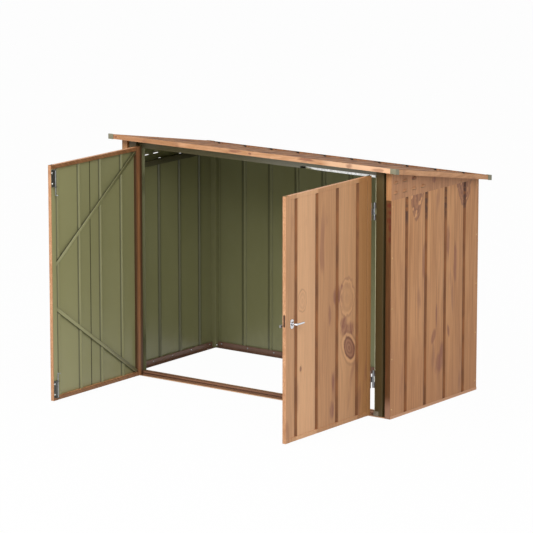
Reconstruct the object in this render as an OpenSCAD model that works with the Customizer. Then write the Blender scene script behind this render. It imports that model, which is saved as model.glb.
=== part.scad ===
// Sheet-steel bike shelter: lean-to roof, two hinged doors, no floor.
// X runs along the width, +Y to the back and +Z up, in millimetres.
// The origin is on the ground at the centre of the footprint.

/* [Overall size] */
// Width of the walls, outside
body_w = 2110; // [1800:10:2600]
// Depth of the walls, outside
body_d = 980; // [800:10:1300]
// Height of the walls at the front, up to the roof edging
front_h = 1545; // [1525:5:1900]
// Height of the walls at the back, up to the roof edging
back_h = 1373; // [1250:5:1390]

/* [Sheet and sections] */
// Thickness of the wall, roof and door sheets
sheet_t = 1; // [0.6:0.1:2]
// Thickness of the folded frame sections
frame_t = 1.5; // [1:0.1:2.5]
// Distance between the pressed ribs
rib_pitch = 217; // [150:1:260]
// Width of a pressed rib at its mouth
rib_w = 28; // [16:1:40]
// Depth of a pressed rib
rib_depth = 10; // [5:0.5:14]
// Gap left between pieces that only rest together
seat_gap = 0.2; // [0.1:0.1:0.5]
// Least flat land between a pressed rib and the end of its sheet
rib_land = 4; // [2:1:10]
// Distance of a side wall's first rib from the front
side_rib_first = 167; // [120:1:200]
// Distance of the back wall's first rib from its left end
back_rib_first = 257; // [120:1:300]

/* [Base] */
// Height of the base rail's lip outside the wall sheet
rail_lip_h = 18; // [12:1:30]
// Height of the base rail's upstand inside the wall sheet
rail_up_h = 37; // [25:1:60]
// Width of the base rail's flange on the ground, inside the upstand
rail_flange_w = 25; // [20:1:40]
// Radius of an anchor hole in the ground flange
anchor_r = 4.5; // [3:0.5:6]
// Distance of each anchor hole from the shelter's front or back
anchor_in = 110; // [80:5:200]
// Height of the sill's front step
sill_step_h = 7; // [4:0.5:9]
// Height of the sill behind the doors
sill_h = 26; // [20:1:40]
// Depth of the sill behind the doors
sill_rear_d = 22; // [20:1:40]

/* [Posts and frame] */
// Width of a corner post
post_w = 40; // [30:1:60]
// Width of the dark slot between a front post and its jamb
slot_w = 18; // [10:1:30]
// Depth of that slot
slot_depth = 25; // [15:1:30]
// Width of a jamb's front face
jamb_w = 56.5; // [40:0.5:80]
// Depth of a jamb
jamb_d = 40; // [30:1:46]
// Distance of the header's underside below the roof edging's foot
header_drop = 47; // [40:1:80]
// Depth of the header
header_d = 40; // [30:1:60]
// Height of the side wall sheets over the height of the walls at the back
wall_over = 2; // [0:1:8]
// Height of a top rail
top_rail_h = 35; // [25:1:50]
// Depth of a top rail
top_rail_d = 26; // [20:1:30]
// Height of the bright strip under the header
strip_h = 14; // [8:1:20]
// Start of the bright strip, right of the centre
strip_start = 377; // [200:1:500]
// Width of a door stop behind the hinge gap
stop_w = 34; // [20:1:34]
// How far a door stop reaches behind its jamb
stop_lap = 9.5; // [6:0.5:12]
// Gap between a closed door and the door stops
stop_gap = 8.5; // [6:0.5:12]
// Height of a grey foot block
foot_h = 31; // [20:1:45]
// Width of a grey foot block
foot_w = 36; // [25:1:50]
// How far a foot block stands in front of its jamb
foot_out = 4; // [2:0.5:8]
// How far a foot block stands beside its jamb
foot_side = 6; // [3:0.5:8]

/* [Gables] */
// Length of a louvre
louvre_len = 50; // [30:1:60]
// Height of a louvre's slit
louvre_slit = 4; // [2:0.5:4]
// How far a louvre's hood stands out
louvre_out = 7; // [4:0.5:10]
// Height of a louvre's hood
louvre_h = 16; // [10:1:24]
// Distance between louvres along a row
louvre_pitch = 100; // [80:1:120]
// Distance of the first louvre's centre from the front
louvre_first = 48; // [45:1:60]
// Height of the lower louvre row over the wall sheets
louvre_low = 34; // [25:1:40]
// Distance between the two louvre rows
louvre_rise = 64; // [50:1:70]

/* [Roof] */
// Overhang of the roof at the front
over_front = 55; // [40:1:90]
// Overhang of the roof at the back
over_back = 42; // [20:1:90]
// Overhang of the roof at each side
over_side = 63; // [40:1:90]
// Height of the roof edging
trim_h = 30; // [25:1:45]
// Width of the edging's flange under the roof sheet
trim_flange = 25; // [15:1:35]
// Height of the roof sheet's underside over the edging's bottom
roof_seat = 16; // [10:1:18]
// Height of a roof rib
roof_rib_h = 9; // [5:0.5:12]
// Distance of the first roof rib from the roof's left edge
roof_rib_first = 62; // [40:1:100]
// Gap between the roof sheets' ends and the edging
roof_end_gap = 1.3; // [1:0.1:6]
// Length of a corner cap's leg
cap_leg = 37; // [25:1:50]
// Thickness of a corner cap
cap_t = 3; // [2:0.5:5]
// How far a corner cap stands over and under the edging
cap_rim = 2; // [1:0.5:4]

/* [Doors] */
// Thickness of a door leaf
door_t = 25; // [22:0.5:30]
// Height of a door's lower edge over the ground
door_z = 12.5; // [12:0.5:20]
// How far a door laps over the header
door_lap = 22; // [10:1:25]
// Gap between the closed doors
door_gap = 6; // [5:0.5:10]
// Distance from a door's hinge edge to the hinge axis
hinge_back = 25.5; // [24:0.5:30]
// Distance from the hinge axis back to the closed door's outer face
hinge_front = 3; // [2:0.5:4]
// How far a closed door's outer face lies behind the front of the posts
door_inset = 12.5; // [10:0.5:20]
// Width of a door's stiles
stile_w = 42; // [30:1:60]
// Height of a door's rails
door_rail_h = 25; // [20:1:40]
// Depth of the door sheet behind the frame's outer face
panel_in = 3; // [1:0.5:5]
// Distance of the left door's first rib from its free edge
left_rib_first = 82; // [70:1:130]
// Distance of the right door's first rib from its free edge
right_rib_first = 107; // [70:1:130]
// Distance between the door ribs
door_rib_pitch = 213; // [150:1:260]
// Width of the seal fin on a door's hinge edge
fin_w = 14; // [8:1:14]
// Width of a brace
brace_w = 25; // [15:1:40]
// Thickness of a brace
brace_t = 6; // [3:0.5:10]
// Distance of the upper brace's middle below the frame's inner corner
brace_high = 6.6; // [3:0.1:9]
// Distance of the lower brace's middle above the frame's inner corner
brace_low = 4.1; // [3:0.1:9]
// Height on the free stile between the ends of the two braces
brace_split = 220; // [150:5:300]

/* [Hinges] */
// Height of a hinge
hinge_h = 110; // [80:1:140]
// Distance of a hinge's centre from the door's end
hinge_end = 225; // [150:5:350]
// Radius of a hinge pin
pin_r = 3; // [2.5:0.5:4]
// Running clearance round a hinge pin
pin_gap = 0.08; // [0.05:0.01:0.1]
// Radius of a hinge knuckle
knuckle_r = 6.5; // [5.5:0.5:7.5]
// Thickness of the hinge plates
plate_t = 2; // [1.5:0.5:3]
// Gap between the hinge knuckles and the jamb
hinge_clear = 12; // [9:0.5:15]
// Gap between two knuckles of one hinge
knuckle_gap = 0.4; // [0.2:0.1:1]

/* [Bolts] */
// Radius of a bolt's rod
rod_r = 4; // [3:0.5:5]
// Clearance of a rod in its bracket
rod_gap = 0.3; // [0.2:0.1:0.5]
// Distance of the rods from the left door's free edge
rod_in = 22; // [18:1:26]
// Distance of the rods behind the left door's inner face
rod_back = 18.5; // [18:0.5:22]
// Radius of the keeper holes in the header and the sill
keeper_r = 7; // [6:0.5:8]
// Height of a bolt bracket
bracket_h = 110; // [80:1:140]
// Width of a bolt bracket
bracket_w = 40; // [30:1:42]
// Gap between a drawn bolt's tip and its keeper
bolt_clear = 6; // [4:1:10]
// Distance of a bolt's knob end beyond its bracket
knob_drop = 55; // [50:1:80]
// Length of a bolt's knob
knob_len = 20; // [12:1:30]
// Radius of a bolt's knob
knob_r = 3.5; // [2:0.5:4.5]

/* [Lock and handle] */
// Height of the handle's spindle over the ground
handle_z = 740; // [600:5:1000]
// Distance of the spindle from the right door's free edge
handle_in = 60; // [45:1:75]
// Length of the lever
lever_len = 82; // [60:1:100]
// Radius of the lever's neck
neck_r = 7; // [5:0.5:9]
// How far the lever's back stands off the door
lever_off = 34; // [25:1:45]
// Radius of the lever's grip
grip_r = 6.5; // [5:0.5:8]
// Radius of the handle's rose
rose_r = 17; // [13:0.5:17]
// How far the lever's rose is drawn out upwards and downwards
rose_rise = 13; // [0:0.5:20]
// Thickness of a rose
rose_t = 5; // [3:0.5:8]
// Radius of the key rose
key_rose_r = 9; // [7:0.5:12]
// Distance of the key rose from the spindle, towards the hinge
key_in = 56; // [40:1:70]
// Distance of the key rose below the spindle
key_drop = 12; // [8:1:60]
// Width of the lock case
lock_w = 68; // [50:1:80]
// Height of the lock case
lock_h = 90; // [60:1:120]
// Depth of the lock case
lock_d = 19; // [17:1:25]
// How far the latch stands out past the free edge
latch_out = 10; // [6:0.5:14]
// Height of the latch
latch_h = 16; // [10:1:24]
// Thickness of the latch
latch_t = 10; // [6:0.5:12]
// Distance of the latch behind the door's inner face
latch_back = 6; // [3:0.5:7]
// Distance of the lock case from the free edge
lock_edge = 26; // [1:0.5:32]

/* [Hidden] */
$fn = 48;
eps = 1;
// Half sizes and the planes of the sheets
half_w = body_w / 2;
half_d = body_d / 2;
slope = (front_h - back_h) / body_d;
roof_angle = atan(slope);
sheet_x = half_w - frame_t;
sheet_y = half_d - frame_t;
post_out = sheet_x - sheet_t;
post_in = post_out - post_w;
post_back = sheet_y - sheet_t;
rail_up_x = sheet_x - sheet_t - rib_depth - frame_t - seat_gap;
rail_up_y = sheet_y - sheet_t - rib_depth - frame_t - seat_gap;
// Heights that follow from the walls
wall_top = back_h + wall_over;
header_z = front_h - header_drop;
// Jambs, hinge axes and door leaves, from the corner posts inwards
jamb_out = post_in - slot_w;
jamb_x = jamb_out - jamb_w;
hinge_x = jamb_x - knuckle_r - hinge_clear;
door_w = hinge_x - hinge_back - door_gap / 2;
hinge_y = -half_d + door_inset - hinge_front;
door_back_y = -half_d + door_inset + door_t;
frame_y = door_back_y + stop_gap;
door_h = header_z + door_lap - door_z;
// Roof outline
roof_x = half_w + over_side;
roof_front = -half_d - over_front;
roof_back = half_d + over_back;
roof_rib_x = -roof_x + roof_rib_first;
// The back wall's ribs
back_rib_x = -half_w + back_rib_first;
// Bolts
rod_y = door_back_y + rod_back;
rod_x = -(door_gap / 2 + rod_in);
bolt_top_z = header_z - bolt_clear;
bolt_low_z = sill_h + bolt_clear;

wood = [0.74, 0.56, 0.42];
rail_brown = [0.50, 0.36, 0.28];
olive = [0.45, 0.46, 0.32];
zinc = [0.70, 0.71, 0.72];
grey_plastic = [0.43, 0.44, 0.36];

// Height of the plane on which the roof edging's lower edge lies
function roof_z(y) = front_h - slope * (y + half_d);

// Rib centres that fit between two ends, measured from the first end
function ribs_in(first, pitch, lo, hi) =
  [for (c = first; c + rib_w / 2 < hi - rib_land; c = c + pitch) if (c - rib_w / 2 > lo + rib_land) c - lo];

// Corner points of one pressed rib, as an open path
function rib_points(c, h) = [
  [c - rib_w / 2, 0],
  [c - rib_w / 4, h],
  [c + rib_w / 4, h],
  [c + rib_w / 2, 0]
];

function rib_path(len, centres, h) = concat([[0, 0]], [for (c = centres) each rib_points(c, h)], [[len, 0]]);

function reversed(list) = [for (i = [len(list) - 1 : -1 : 0]) list[i]];

// Ribbed sheet standing up, its flat outer face on y = 0 and its ribs towards +y
module ribbed_sheet(len, height, centres, h) {
  path = rib_path(len, centres, h);
  linear_extrude(height)
    polygon(concat(path, reversed([for (p = path) [p[0], p[1] + sheet_t]])));
}

// Outline in the Y-Z plane made into a bar from x0 to x1
module bar_x(x0, x1) {
  translate([x0, 0, 0])
    rotate([90, 0, 90])
      linear_extrude(x1 - x0)
        children();
}

// Box between two corners
module box(lo, hi) {
  translate(lo)
    cube([hi[0] - lo[0], hi[1] - lo[1], hi[2] - lo[2]]);
}

// Square tube standing up between two corners, open at both ends
module tube_z(lo, hi, wall) {
  difference() {
    box(lo, hi);
    box([lo[0] + wall, lo[1] + wall, lo[2] - eps], [hi[0] - wall, hi[1] - wall, hi[2] + eps]);
  }
}

// Everything below the roof sheets
module under_roof() {
  reach = half_d + over_front;
  bar_x(-roof_x, roof_x)
    polygon([
      [-reach, -eps],
      [reach, -eps],
      [reach, roof_z(reach) + roof_seat - seat_gap],
      [-reach, roof_z(-reach) + roof_seat - seat_gap]
    ]);
}

module both_sides() {
  children();
  mirror([1, 0, 0])
    children();
}

// ---- Base ----

module sill() {
  color(wood)
    difference() {
      bar_x(-post_in, post_in)
        difference() {
          polygon([
            [-half_d, 0],
            [frame_y + sill_rear_d, 0],
            [frame_y + sill_rear_d, sill_h],
            [frame_y, sill_h],
            [frame_y, sill_step_h],
            [-half_d, sill_step_h]
          ]);
          polygon([
            [-half_d + frame_t, frame_t],
            [frame_y + sill_rear_d - frame_t, frame_t],
            [frame_y + sill_rear_d - frame_t, sill_h - frame_t],
            [frame_y + frame_t, sill_h - frame_t],
            [frame_y + frame_t, sill_step_h - frame_t],
            [-half_d + frame_t, sill_step_h - frame_t]
          ]);
        }
      translate([rod_x, rod_y, sill_h - frame_t - eps])
        cylinder(r = keeper_r, h = frame_t + 2 * eps);
    }
}

module base_rail_right() {
  color(rail_brown)
    difference() {
      union() {
        box([sheet_x, -half_d, 0], [half_w, half_d, rail_lip_h]);
        box([post_in, -half_d, 0], [half_w, half_d, frame_t]);
        box([rail_up_x, -half_d + post_w, 0], [rail_up_x + frame_t, post_back - post_w, rail_up_h]);
        box(
          [rail_up_x - rail_flange_w, frame_y + sill_rear_d, 0],
          [half_w - eps, post_back - post_w, frame_t]
        );
      }
      for (y = [-half_d + anchor_in, half_d - anchor_in])
        translate([rail_up_x - rail_flange_w / 2, y, -eps])
          cylinder(r = anchor_r, h = frame_t + 2 * eps);
    }
}

module base_rail_left() {
  mirror([1, 0, 0])
    base_rail_right();
}

module base_rail_back() {
  flat_x = post_in;
  color(rail_brown)
    union() {
      box([-sheet_x, sheet_y, frame_t], [sheet_x, half_d, rail_lip_h]);
      box([-flat_x, post_back - post_w, 0], [flat_x, half_d, frame_t]);
      box([-flat_x, rail_up_y, 0], [flat_x, rail_up_y + frame_t, rail_up_h]);
    }
}

// ---- Posts and door frame ----

module corner_post(y0, y1) {
  intersection() {
    tube_z([post_in, y0, frame_t], [post_out, y1, front_h + trim_h], frame_t);
    under_roof();
  }
}

module post_front_right() {
  color(wood)
    corner_post(-half_d, -half_d + post_w);
}

module post_front_left() {
  mirror([1, 0, 0])
    post_front_right();
}

module posts_back() {
  color(olive)
    both_sides()
      corner_post(post_back - post_w, post_back);
}

module jamb_right() {
  color(olive)
    intersection() {
      union() {
        tube_z([jamb_x, -half_d, sill_step_h], [jamb_out, -half_d + jamb_d, front_h + trim_h], frame_t);
        box(
          [jamb_out - eps, -half_d + slot_depth, sill_step_h],
          [post_in, -half_d + slot_depth + frame_t, front_h + trim_h]
        );
      }
      under_roof();
    }
}

module jamb_left() {
  mirror([1, 0, 0])
    jamb_right();
}

module door_stops() {
  color(olive)
    both_sides()
      difference() {
        box([jamb_x - stop_w, frame_y, sill_h], [jamb_x + stop_lap, frame_y + frame_t, header_z]);
        box([jamb_x, -half_d, 0], [half_w, -half_d + jamb_d, front_h]);
      }
}

module foot_blocks() {
  corner = [jamb_x - foot_side, -half_d - foot_out, sill_step_h];
  top = sill_step_h + foot_h;
  color(grey_plastic)
    both_sides()
      union() {
        box(corner, [corner[0] + foot_w, -half_d, top]);
        box(corner, [jamb_x, -half_d + jamb_d, top]);
      }
}

module header() {
  front = frame_y;
  back = frame_y + header_d;
  top = roof_seat - seat_gap;
  color(olive)
    difference() {
      bar_x(-jamb_x, jamb_x)
        difference() {
          polygon([
            [front, header_z],
            [back, header_z],
            [back, roof_z(back) + top],
            [front, roof_z(front) + top]
          ]);
          polygon([
            [front + frame_t, header_z + frame_t],
            [back - frame_t, header_z + frame_t],
            [back - frame_t, roof_z(back) + top - 2 * frame_t],
            [front + frame_t, roof_z(front) + top - 2 * frame_t]
          ]);
        }
      translate([rod_x, rod_y, header_z - eps])
        cylinder(r = keeper_r, h = frame_t + 2 * eps);
    }
}

module header_strip() {
  color(zinc)
    box([strip_start, frame_y - frame_t, header_z], [jamb_x - stop_w, frame_y, header_z + strip_h]);
}

// Hollow section along the top of each side wall
module top_rails_side() {
  outer = rail_up_x + frame_t;
  inner = outer - top_rail_d;
  y0 = -half_d + post_w;
  y1 = post_back - post_w;
  low = wall_top - top_rail_h;
  color(rail_brown)
    both_sides()
      difference() {
        box([inner, y0, low], [outer, y1, wall_top]);
        box([inner + frame_t, y0 - eps, low + frame_t], [outer - frame_t, y1 + eps, wall_top - frame_t]);
      }
}

// Hollow section along the top of the back wall
module top_rail_back() {
  outer = rail_up_y + frame_t;
  inner = outer - top_rail_d;
  under = roof_seat - seat_gap;
  low = roof_z(outer) + under - top_rail_h;
  color(rail_brown)
    bar_x(-post_in, post_in)
      difference() {
        polygon([
          [inner, low],
          [outer, low],
          [outer, roof_z(outer) + under],
          [inner, roof_z(inner) + under]
        ]);
        polygon([
          [inner + frame_t, low + frame_t],
          [outer - frame_t, low + frame_t],
          [outer - frame_t, roof_z(outer) + under - 2 * frame_t],
          [inner + frame_t, roof_z(inner) + under - 2 * frame_t]
        ]);
      }
}

// ---- Walls ----

module wall_right() {
  color(wood)
    translate([sheet_x, -half_d, frame_t])
      rotate([0, 0, 90])
        ribbed_sheet(
          half_d + sheet_y,
          wall_top - frame_t,
          ribs_in(-half_d + side_rib_first, rib_pitch, -half_d, sheet_y - post_w),
          rib_depth
        );
}

module wall_left() {
  mirror([1, 0, 0])
    wall_right();
}

// Back sheet between two places along the width
module back_sheet(x0, x1, lo, hi) {
  color(wood)
    intersection() {
      translate([x0, sheet_y, frame_t])
        mirror([0, 1, 0])
          ribbed_sheet(
            x1 - x0,
            front_h,
            [for (c = ribs_in(back_rib_x, rib_pitch, lo, hi)) c + lo - x0],
            rib_depth
          );
      under_roof();
    }
}

back_seam_1 = back_rib_x + 2.5 * rib_pitch;
back_seam_2 = back_rib_x + 5.5 * rib_pitch;

module back_sheet_left() {
  back_sheet(-post_out, back_seam_1, -post_in, back_seam_1);
}

module back_sheet_middle() {
  back_sheet(back_seam_1, back_seam_2, back_seam_1, back_seam_2);
}

module back_sheet_right() {
  back_sheet(back_seam_2, post_out, back_seam_2, post_in);
}

// Hood of one louvre, pressed outwards over its slit
module louvre_hood() {
  rotate([90, 0, 0])
    linear_extrude(louvre_len, center = true)
      polygon([
        [0, louvre_slit],
        [louvre_out, louvre_slit],
        [louvre_out, louvre_slit + sheet_t],
        [sheet_t, louvre_slit + louvre_h],
        [0, louvre_slit + louvre_h]
      ]);
}

louvre_places = [
  for (row = [0, 1])
    for (col = [0 : 3 - row])
      [-half_d + louvre_first + col * louvre_pitch, wall_top + louvre_low + row * louvre_rise]
];

module gable_right() {
  color(wood)
    difference() {
      union() {
        bar_x(sheet_x - sheet_t, sheet_x)
          polygon([
            [-half_d, wall_top],
            [sheet_y, wall_top],
            [sheet_y, roof_z(sheet_y) + roof_seat - seat_gap],
            [-half_d, roof_z(-half_d) + roof_seat - seat_gap]
          ]);
        for (p = louvre_places)
          translate([sheet_x, p[0], p[1]])
            louvre_hood();
      }
      for (p = louvre_places)
        translate([sheet_x - sheet_t - eps, p[0] - louvre_len / 2, p[1]])
          cube([sheet_t + 2 * eps, louvre_len, louvre_slit]);
    }
}

module gable_left() {
  mirror([1, 0, 0])
    gable_right();
}

// ---- Roof ----

// Roof sheet between two places along the width, its ribs upwards
module roof_sheet(x0, x1) {
  // A rib's end leans out by its height times the sine of the roof's angle
  end_room = frame_t + roof_end_gap + (roof_rib_h + sheet_t) * sin(roof_angle);
  front = roof_front + end_room;
  back = roof_back - end_room;
  run = (back - front) / cos(roof_angle);
  color(wood)
    translate([x0, back, roof_z(back) + roof_seat])
      rotate([90 - roof_angle, 0, 0])
        ribbed_sheet(x1 - x0, run, ribs_in(roof_rib_x, rib_pitch, x0, x1), roof_rib_h);
}

roof_seam_1 = roof_rib_x + 3.5 * rib_pitch;
roof_seam_2 = roof_rib_x + 6.5 * rib_pitch;
roof_sheet_x = roof_x - frame_t - seat_gap;

module roof_sheet_left() {
  roof_sheet(-roof_sheet_x, roof_seam_1);
}

module roof_sheet_middle() {
  roof_sheet(roof_seam_1, roof_seam_2);
}

module roof_sheet_right() {
  roof_sheet(roof_seam_2, roof_sheet_x);
}

// Front or back edging: the face at y_face, its flange reaching to y_flange
module trim_end(y_face, y_in, y_flange) {
  under = roof_seat - seat_gap;
  color(wood)
    bar_x(-roof_x + frame_t, roof_x - frame_t)
      polygon([
        [y_face, roof_z(y_face)],
        [y_in, roof_z(y_face)],
        [y_in, roof_z(y_in) + under - frame_t],
        [y_flange, roof_z(y_flange) + under - frame_t],
        [y_flange, roof_z(y_flange) + under],
        [y_in, roof_z(y_in) + under],
        [y_in, roof_z(y_face) + trim_h],
        [y_face, roof_z(y_face) + trim_h]
      ]);
}

module trim_front() {
  trim_end(roof_front, roof_front + frame_t, roof_front + trim_flange);
}

module trim_back() {
  trim_end(roof_back, roof_back - frame_t, roof_back - trim_flange);
}

// Outline of a strip that follows the roof's slope
module slope_strip(y0, y1, low, high) {
  polygon([
    [y0, roof_z(y0) + low],
    [y1, roof_z(y1) + low],
    [y1, roof_z(y1) + high],
    [y0, roof_z(y0) + high]
  ]);
}

module trim_right() {
  color(wood)
    union() {
      bar_x(roof_x - frame_t, roof_x)
        slope_strip(roof_front, roof_back, 0, trim_h);
      bar_x(roof_x - trim_flange, roof_x - frame_t / 2)
        slope_strip(
          roof_front + trim_flange + eps,
          roof_back - trim_flange - eps,
          roof_seat - seat_gap - frame_t,
          roof_seat - seat_gap
        );
    }
}

module trim_left() {
  mirror([1, 0, 0])
    trim_right();
}

// Angle round a back corner of the edging, taller than the roof
module corner_angle() {
  linear_extrude(front_h + over_front + 2 * trim_h)
    polygon([
      [-cap_leg, 0],
      [-cap_leg, cap_t],
      [cap_t, cap_t],
      [cap_t, -cap_leg],
      [0, -cap_leg],
      [0, 0]
    ]);
}

// Four angles, cut above and below to the slope of the edging
module corner_caps() {
  color(grey_plastic)
    both_sides()
      intersection() {
        union() {
          translate([roof_x, roof_back, 0])
            corner_angle();
          translate([roof_x, roof_front, 0])
            mirror([0, 1, 0])
              corner_angle();
        }
        bar_x(half_w, roof_x + cap_t + eps)
          slope_strip(roof_front - cap_t - eps, roof_back + cap_t + eps, -cap_rim, trim_h + cap_rim);
      }
}

// ---- Doors ----
// A leaf is drawn with x from its hinge edge to its free edge, y from its
// outer face to its inner face and z from its lower edge, then stood open.

module right_leaf() {
  translate([hinge_x, hinge_y, door_z])
    rotate([0, 0, 90])
      translate([-hinge_back, hinge_front, 0])
        mirror([1, 0, 0])
          children();
}

module left_leaf() {
  mirror([1, 0, 0])
    right_leaf()
      children();
}

module leaf_panel(first) {
  inner_w = door_w - 2 * stile_w;
  centres = ribs_in(first - stile_w, door_rib_pitch, 0, inner_w);
  color(wood)
    translate([door_w - stile_w, panel_in, door_rail_h])
      mirror([1, 0, 0])
        ribbed_sheet(inner_w, door_h - 2 * door_rail_h, centres, rib_depth);
}

module leaf_stiles() {
  color(wood)
    union() {
      tube_z([0, 0, 0], [stile_w, door_t, door_h], frame_t);
      box([-fin_w, door_t - frame_t, 0], [frame_t, door_t, door_h]);
      tube_z([door_w - stile_w, 0, 0], [door_w, door_t, door_h], frame_t);
    }
}

module leaf_rails() {
  color(wood)
    for (z = [0, door_h - door_rail_h])
      difference() {
        box([stile_w, 0, z], [door_w - stile_w, door_t, z + door_rail_h]);
        box(
          [stile_w - eps, frame_t, z + frame_t],
          [door_w - stile_w + eps, door_t - frame_t, z + door_rail_h - frame_t]
        );
      }
}

// Two flat braces from the hinge corners to the middle of the free stile
module leaf_braces() {
  back = panel_in + rib_depth + sheet_t;
  mid = handle_z - door_z;
  color(olive)
    intersection() {
      box([stile_w, back, door_rail_h], [door_w - stile_w, back + brace_t, door_h - door_rail_h]);
      union() {
        brace([stile_w, door_h - door_rail_h - brace_high], [door_w, mid + brace_split / 2]);
        brace([stile_w, door_rail_h + brace_low], [door_w, mid - brace_split / 2]);
      }
    }
}

// Flat bar between two points in the plane of the leaf, run on past the first one
module brace(from, to) {
  run = to - from;
  translate([from[0], 0, from[1]])
    rotate([0, -atan2(run[1], run[0]), 0])
      translate([-stile_w, 0, -brace_w / 2])
        cube([norm(run) + stile_w, door_t, brace_w]);
}

// ---- Hinges ----
// Drawn round the hinge axis, x towards the jamb and z from the hinge's foot.

knuckle_h = hinge_h / 3;

module fixed_hinge() {
  jamb_gap = jamb_x - hinge_x;
  union() {
    cylinder(r = pin_r, h = hinge_h);
    for (z = [0, 2 * knuckle_h]) {
      translate([0, 0, z])
        cylinder(r = knuckle_r, h = knuckle_h);
      box([0, -plate_t / 2, z], [jamb_gap - plate_t / 2, plate_t / 2, z + knuckle_h]);
    }
    box([jamb_gap - plate_t, -plate_t, 0], [jamb_gap, jamb_d - door_inset, hinge_h]);
  }
}

module moving_hinge() {
  low = knuckle_h + knuckle_gap;
  high = 2 * knuckle_h - knuckle_gap;
  difference() {
    union() {
      translate([0, 0, low])
        cylinder(r = knuckle_r, h = high - low);
      box([-hinge_back, 0, low], [0, plate_t, high]);
      box([-hinge_back, 0, 0], [-hinge_back + plate_t, door_t - frame_t, hinge_h]);
    }
    translate([0, 0, -eps])
      cylinder(r = pin_r + pin_gap, h = hinge_h + 2 * eps);
  }
}

hinge_feet = [door_z + hinge_end - hinge_h / 2, door_z + door_h - hinge_end - hinge_h / 2];

module hinge_plates() {
  color(zinc)
    both_sides()
      for (z = hinge_feet)
        translate([hinge_x, hinge_y, z])
          fixed_hinge();
}

module door_right_hinges() {
  color(zinc)
    for (z = hinge_feet)
      translate([hinge_x, hinge_y, z])
        rotate([0, 0, 90])
          moving_hinge();
}

module door_left_hinges() {
  mirror([1, 0, 0])
    door_right_hinges();
}

module door_left_panel() {
  left_leaf()
    leaf_panel(left_rib_first);
}

module door_left_stiles() {
  left_leaf()
    leaf_stiles();
}

module door_left_rails() {
  left_leaf()
    leaf_rails();
}

module door_left_braces() {
  left_leaf()
    leaf_braces();
}

module door_right_panel() {
  right_leaf()
    leaf_panel(right_rib_first);
}

module door_right_stiles() {
  right_leaf()
    leaf_stiles();
}

module door_right_rails() {
  right_leaf()
    leaf_rails();
}

module door_right_braces() {
  right_leaf()
    leaf_braces();
}

// ---- Bolts on the left door ----
// Drawn with the rod's axis on z, x towards the free edge, y away from the leaf.

module bolt_bracket() {
  ear_t = 3;
  edge_x = bracket_w / 2;
  difference() {
    union() {
      box([-edge_x, -rod_back, 0], [edge_x, -rod_back + ear_t, bracket_h]);
      for (z = [0, bracket_h - ear_t])
        box([-edge_x / 2, -rod_back, z], [edge_x / 2, rod_r + ear_t, z + ear_t]);
    }
    translate([0, 0, -eps])
      cylinder(r = rod_r + rod_gap, h = bracket_h + 2 * eps);
  }
}

// Rod with its knob, the tip at z = 0 and the rest below it
module bolt_rod() {
  knob_z = -bracket_h - knob_drop + rod_r;
  union() {
    translate([0, 0, -bracket_h - knob_drop])
      cylinder(r = rod_r, h = bracket_h + knob_drop);
    translate([0, 0, knob_z])
      rotate([-90, 0, 0])
        cylinder(r = knob_r, h = knob_len);
  }
}

module at_rod(z) {
  left_leaf()
    translate([door_w - rod_in, door_t + rod_back, z - door_z])
      children();
}

module bolt_brackets() {
  color(zinc)
    union() {
      at_rod(bolt_top_z - bracket_h)
        bolt_bracket();
      at_rod(bolt_low_z)
        bolt_bracket();
    }
}

module bolt_top() {
  color(zinc)
    at_rod(bolt_top_z)
      bolt_rod();
}

module bolt_bottom() {
  color(zinc)
    at_rod(bolt_low_z)
      mirror([0, 0, 1])
        bolt_rod();
}

// ---- Lock and handle on the right door ----

module lock_case() {
  mid = handle_z - door_z;
  edge_x = door_w - lock_edge;
  latch_y = door_t + latch_back;
  color(zinc)
    right_leaf()
      union() {
        box([edge_x - lock_w, door_t, mid - lock_h / 2], [edge_x, door_t + lock_d, mid + lock_h / 2]);
        box([edge_x - eps, latch_y, mid - latch_h], [door_w + latch_out, latch_y + latch_t, mid]);
      }
}

module at_spindle() {
  right_leaf()
    translate([door_w - handle_in, 0, handle_z - door_z])
      rotate([90, 0, 0])
        children();
}

module handle_roses() {
  color(zinc)
    at_spindle()
      union() {
        difference() {
          union() {
            for (rise = [-rose_rise, rose_rise])
              translate([0, rise, -panel_in])
                cylinder(r = rose_r, h = rose_t + panel_in);
            box([-rose_r, -rose_rise, -panel_in], [rose_r, rose_rise, rose_t]);
          }
          translate([0, 0, -panel_in - eps])
            cylinder(r = neck_r + rod_gap, h = rose_t + panel_in + 2 * eps);
        }
        translate([-key_in, -key_drop, -panel_in])
          cylinder(r = key_rose_r, h = rose_t + panel_in);
      }
}

// Lever drawn with its spindle on z and its grip towards -x, the hinge side
module handle() {
  color("silver")
    at_spindle()
      union() {
        cylinder(r = neck_r, h = lever_off + grip_r);
        translate([0, 0, lever_off])
          rotate([0, -90, 0])
            cylinder(r = grip_r, h = lever_len);
      }
}

sill();
base_rail_back();
base_rail_left();
base_rail_right();
post_front_left();
post_front_right();
posts_back();
jamb_left();
jamb_right();
door_stops();
foot_blocks();
hinge_plates();
header();
header_strip();
top_rail_back();
top_rails_side();
wall_left();
wall_right();
back_sheet_left();
back_sheet_middle();
back_sheet_right();
gable_left();
gable_right();
roof_sheet_left();
roof_sheet_middle();
roof_sheet_right();
trim_front();
trim_back();
trim_left();
trim_right();
corner_caps();
door_left_panel();
door_left_stiles();
door_left_rails();
door_left_braces();
door_left_hinges();
bolt_brackets();
bolt_top();
bolt_bottom();
door_right_panel();
door_right_stiles();
door_right_rails();
door_right_braces();
door_right_hinges();
lock_case();
handle_roses();
handle();
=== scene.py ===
import math

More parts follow.
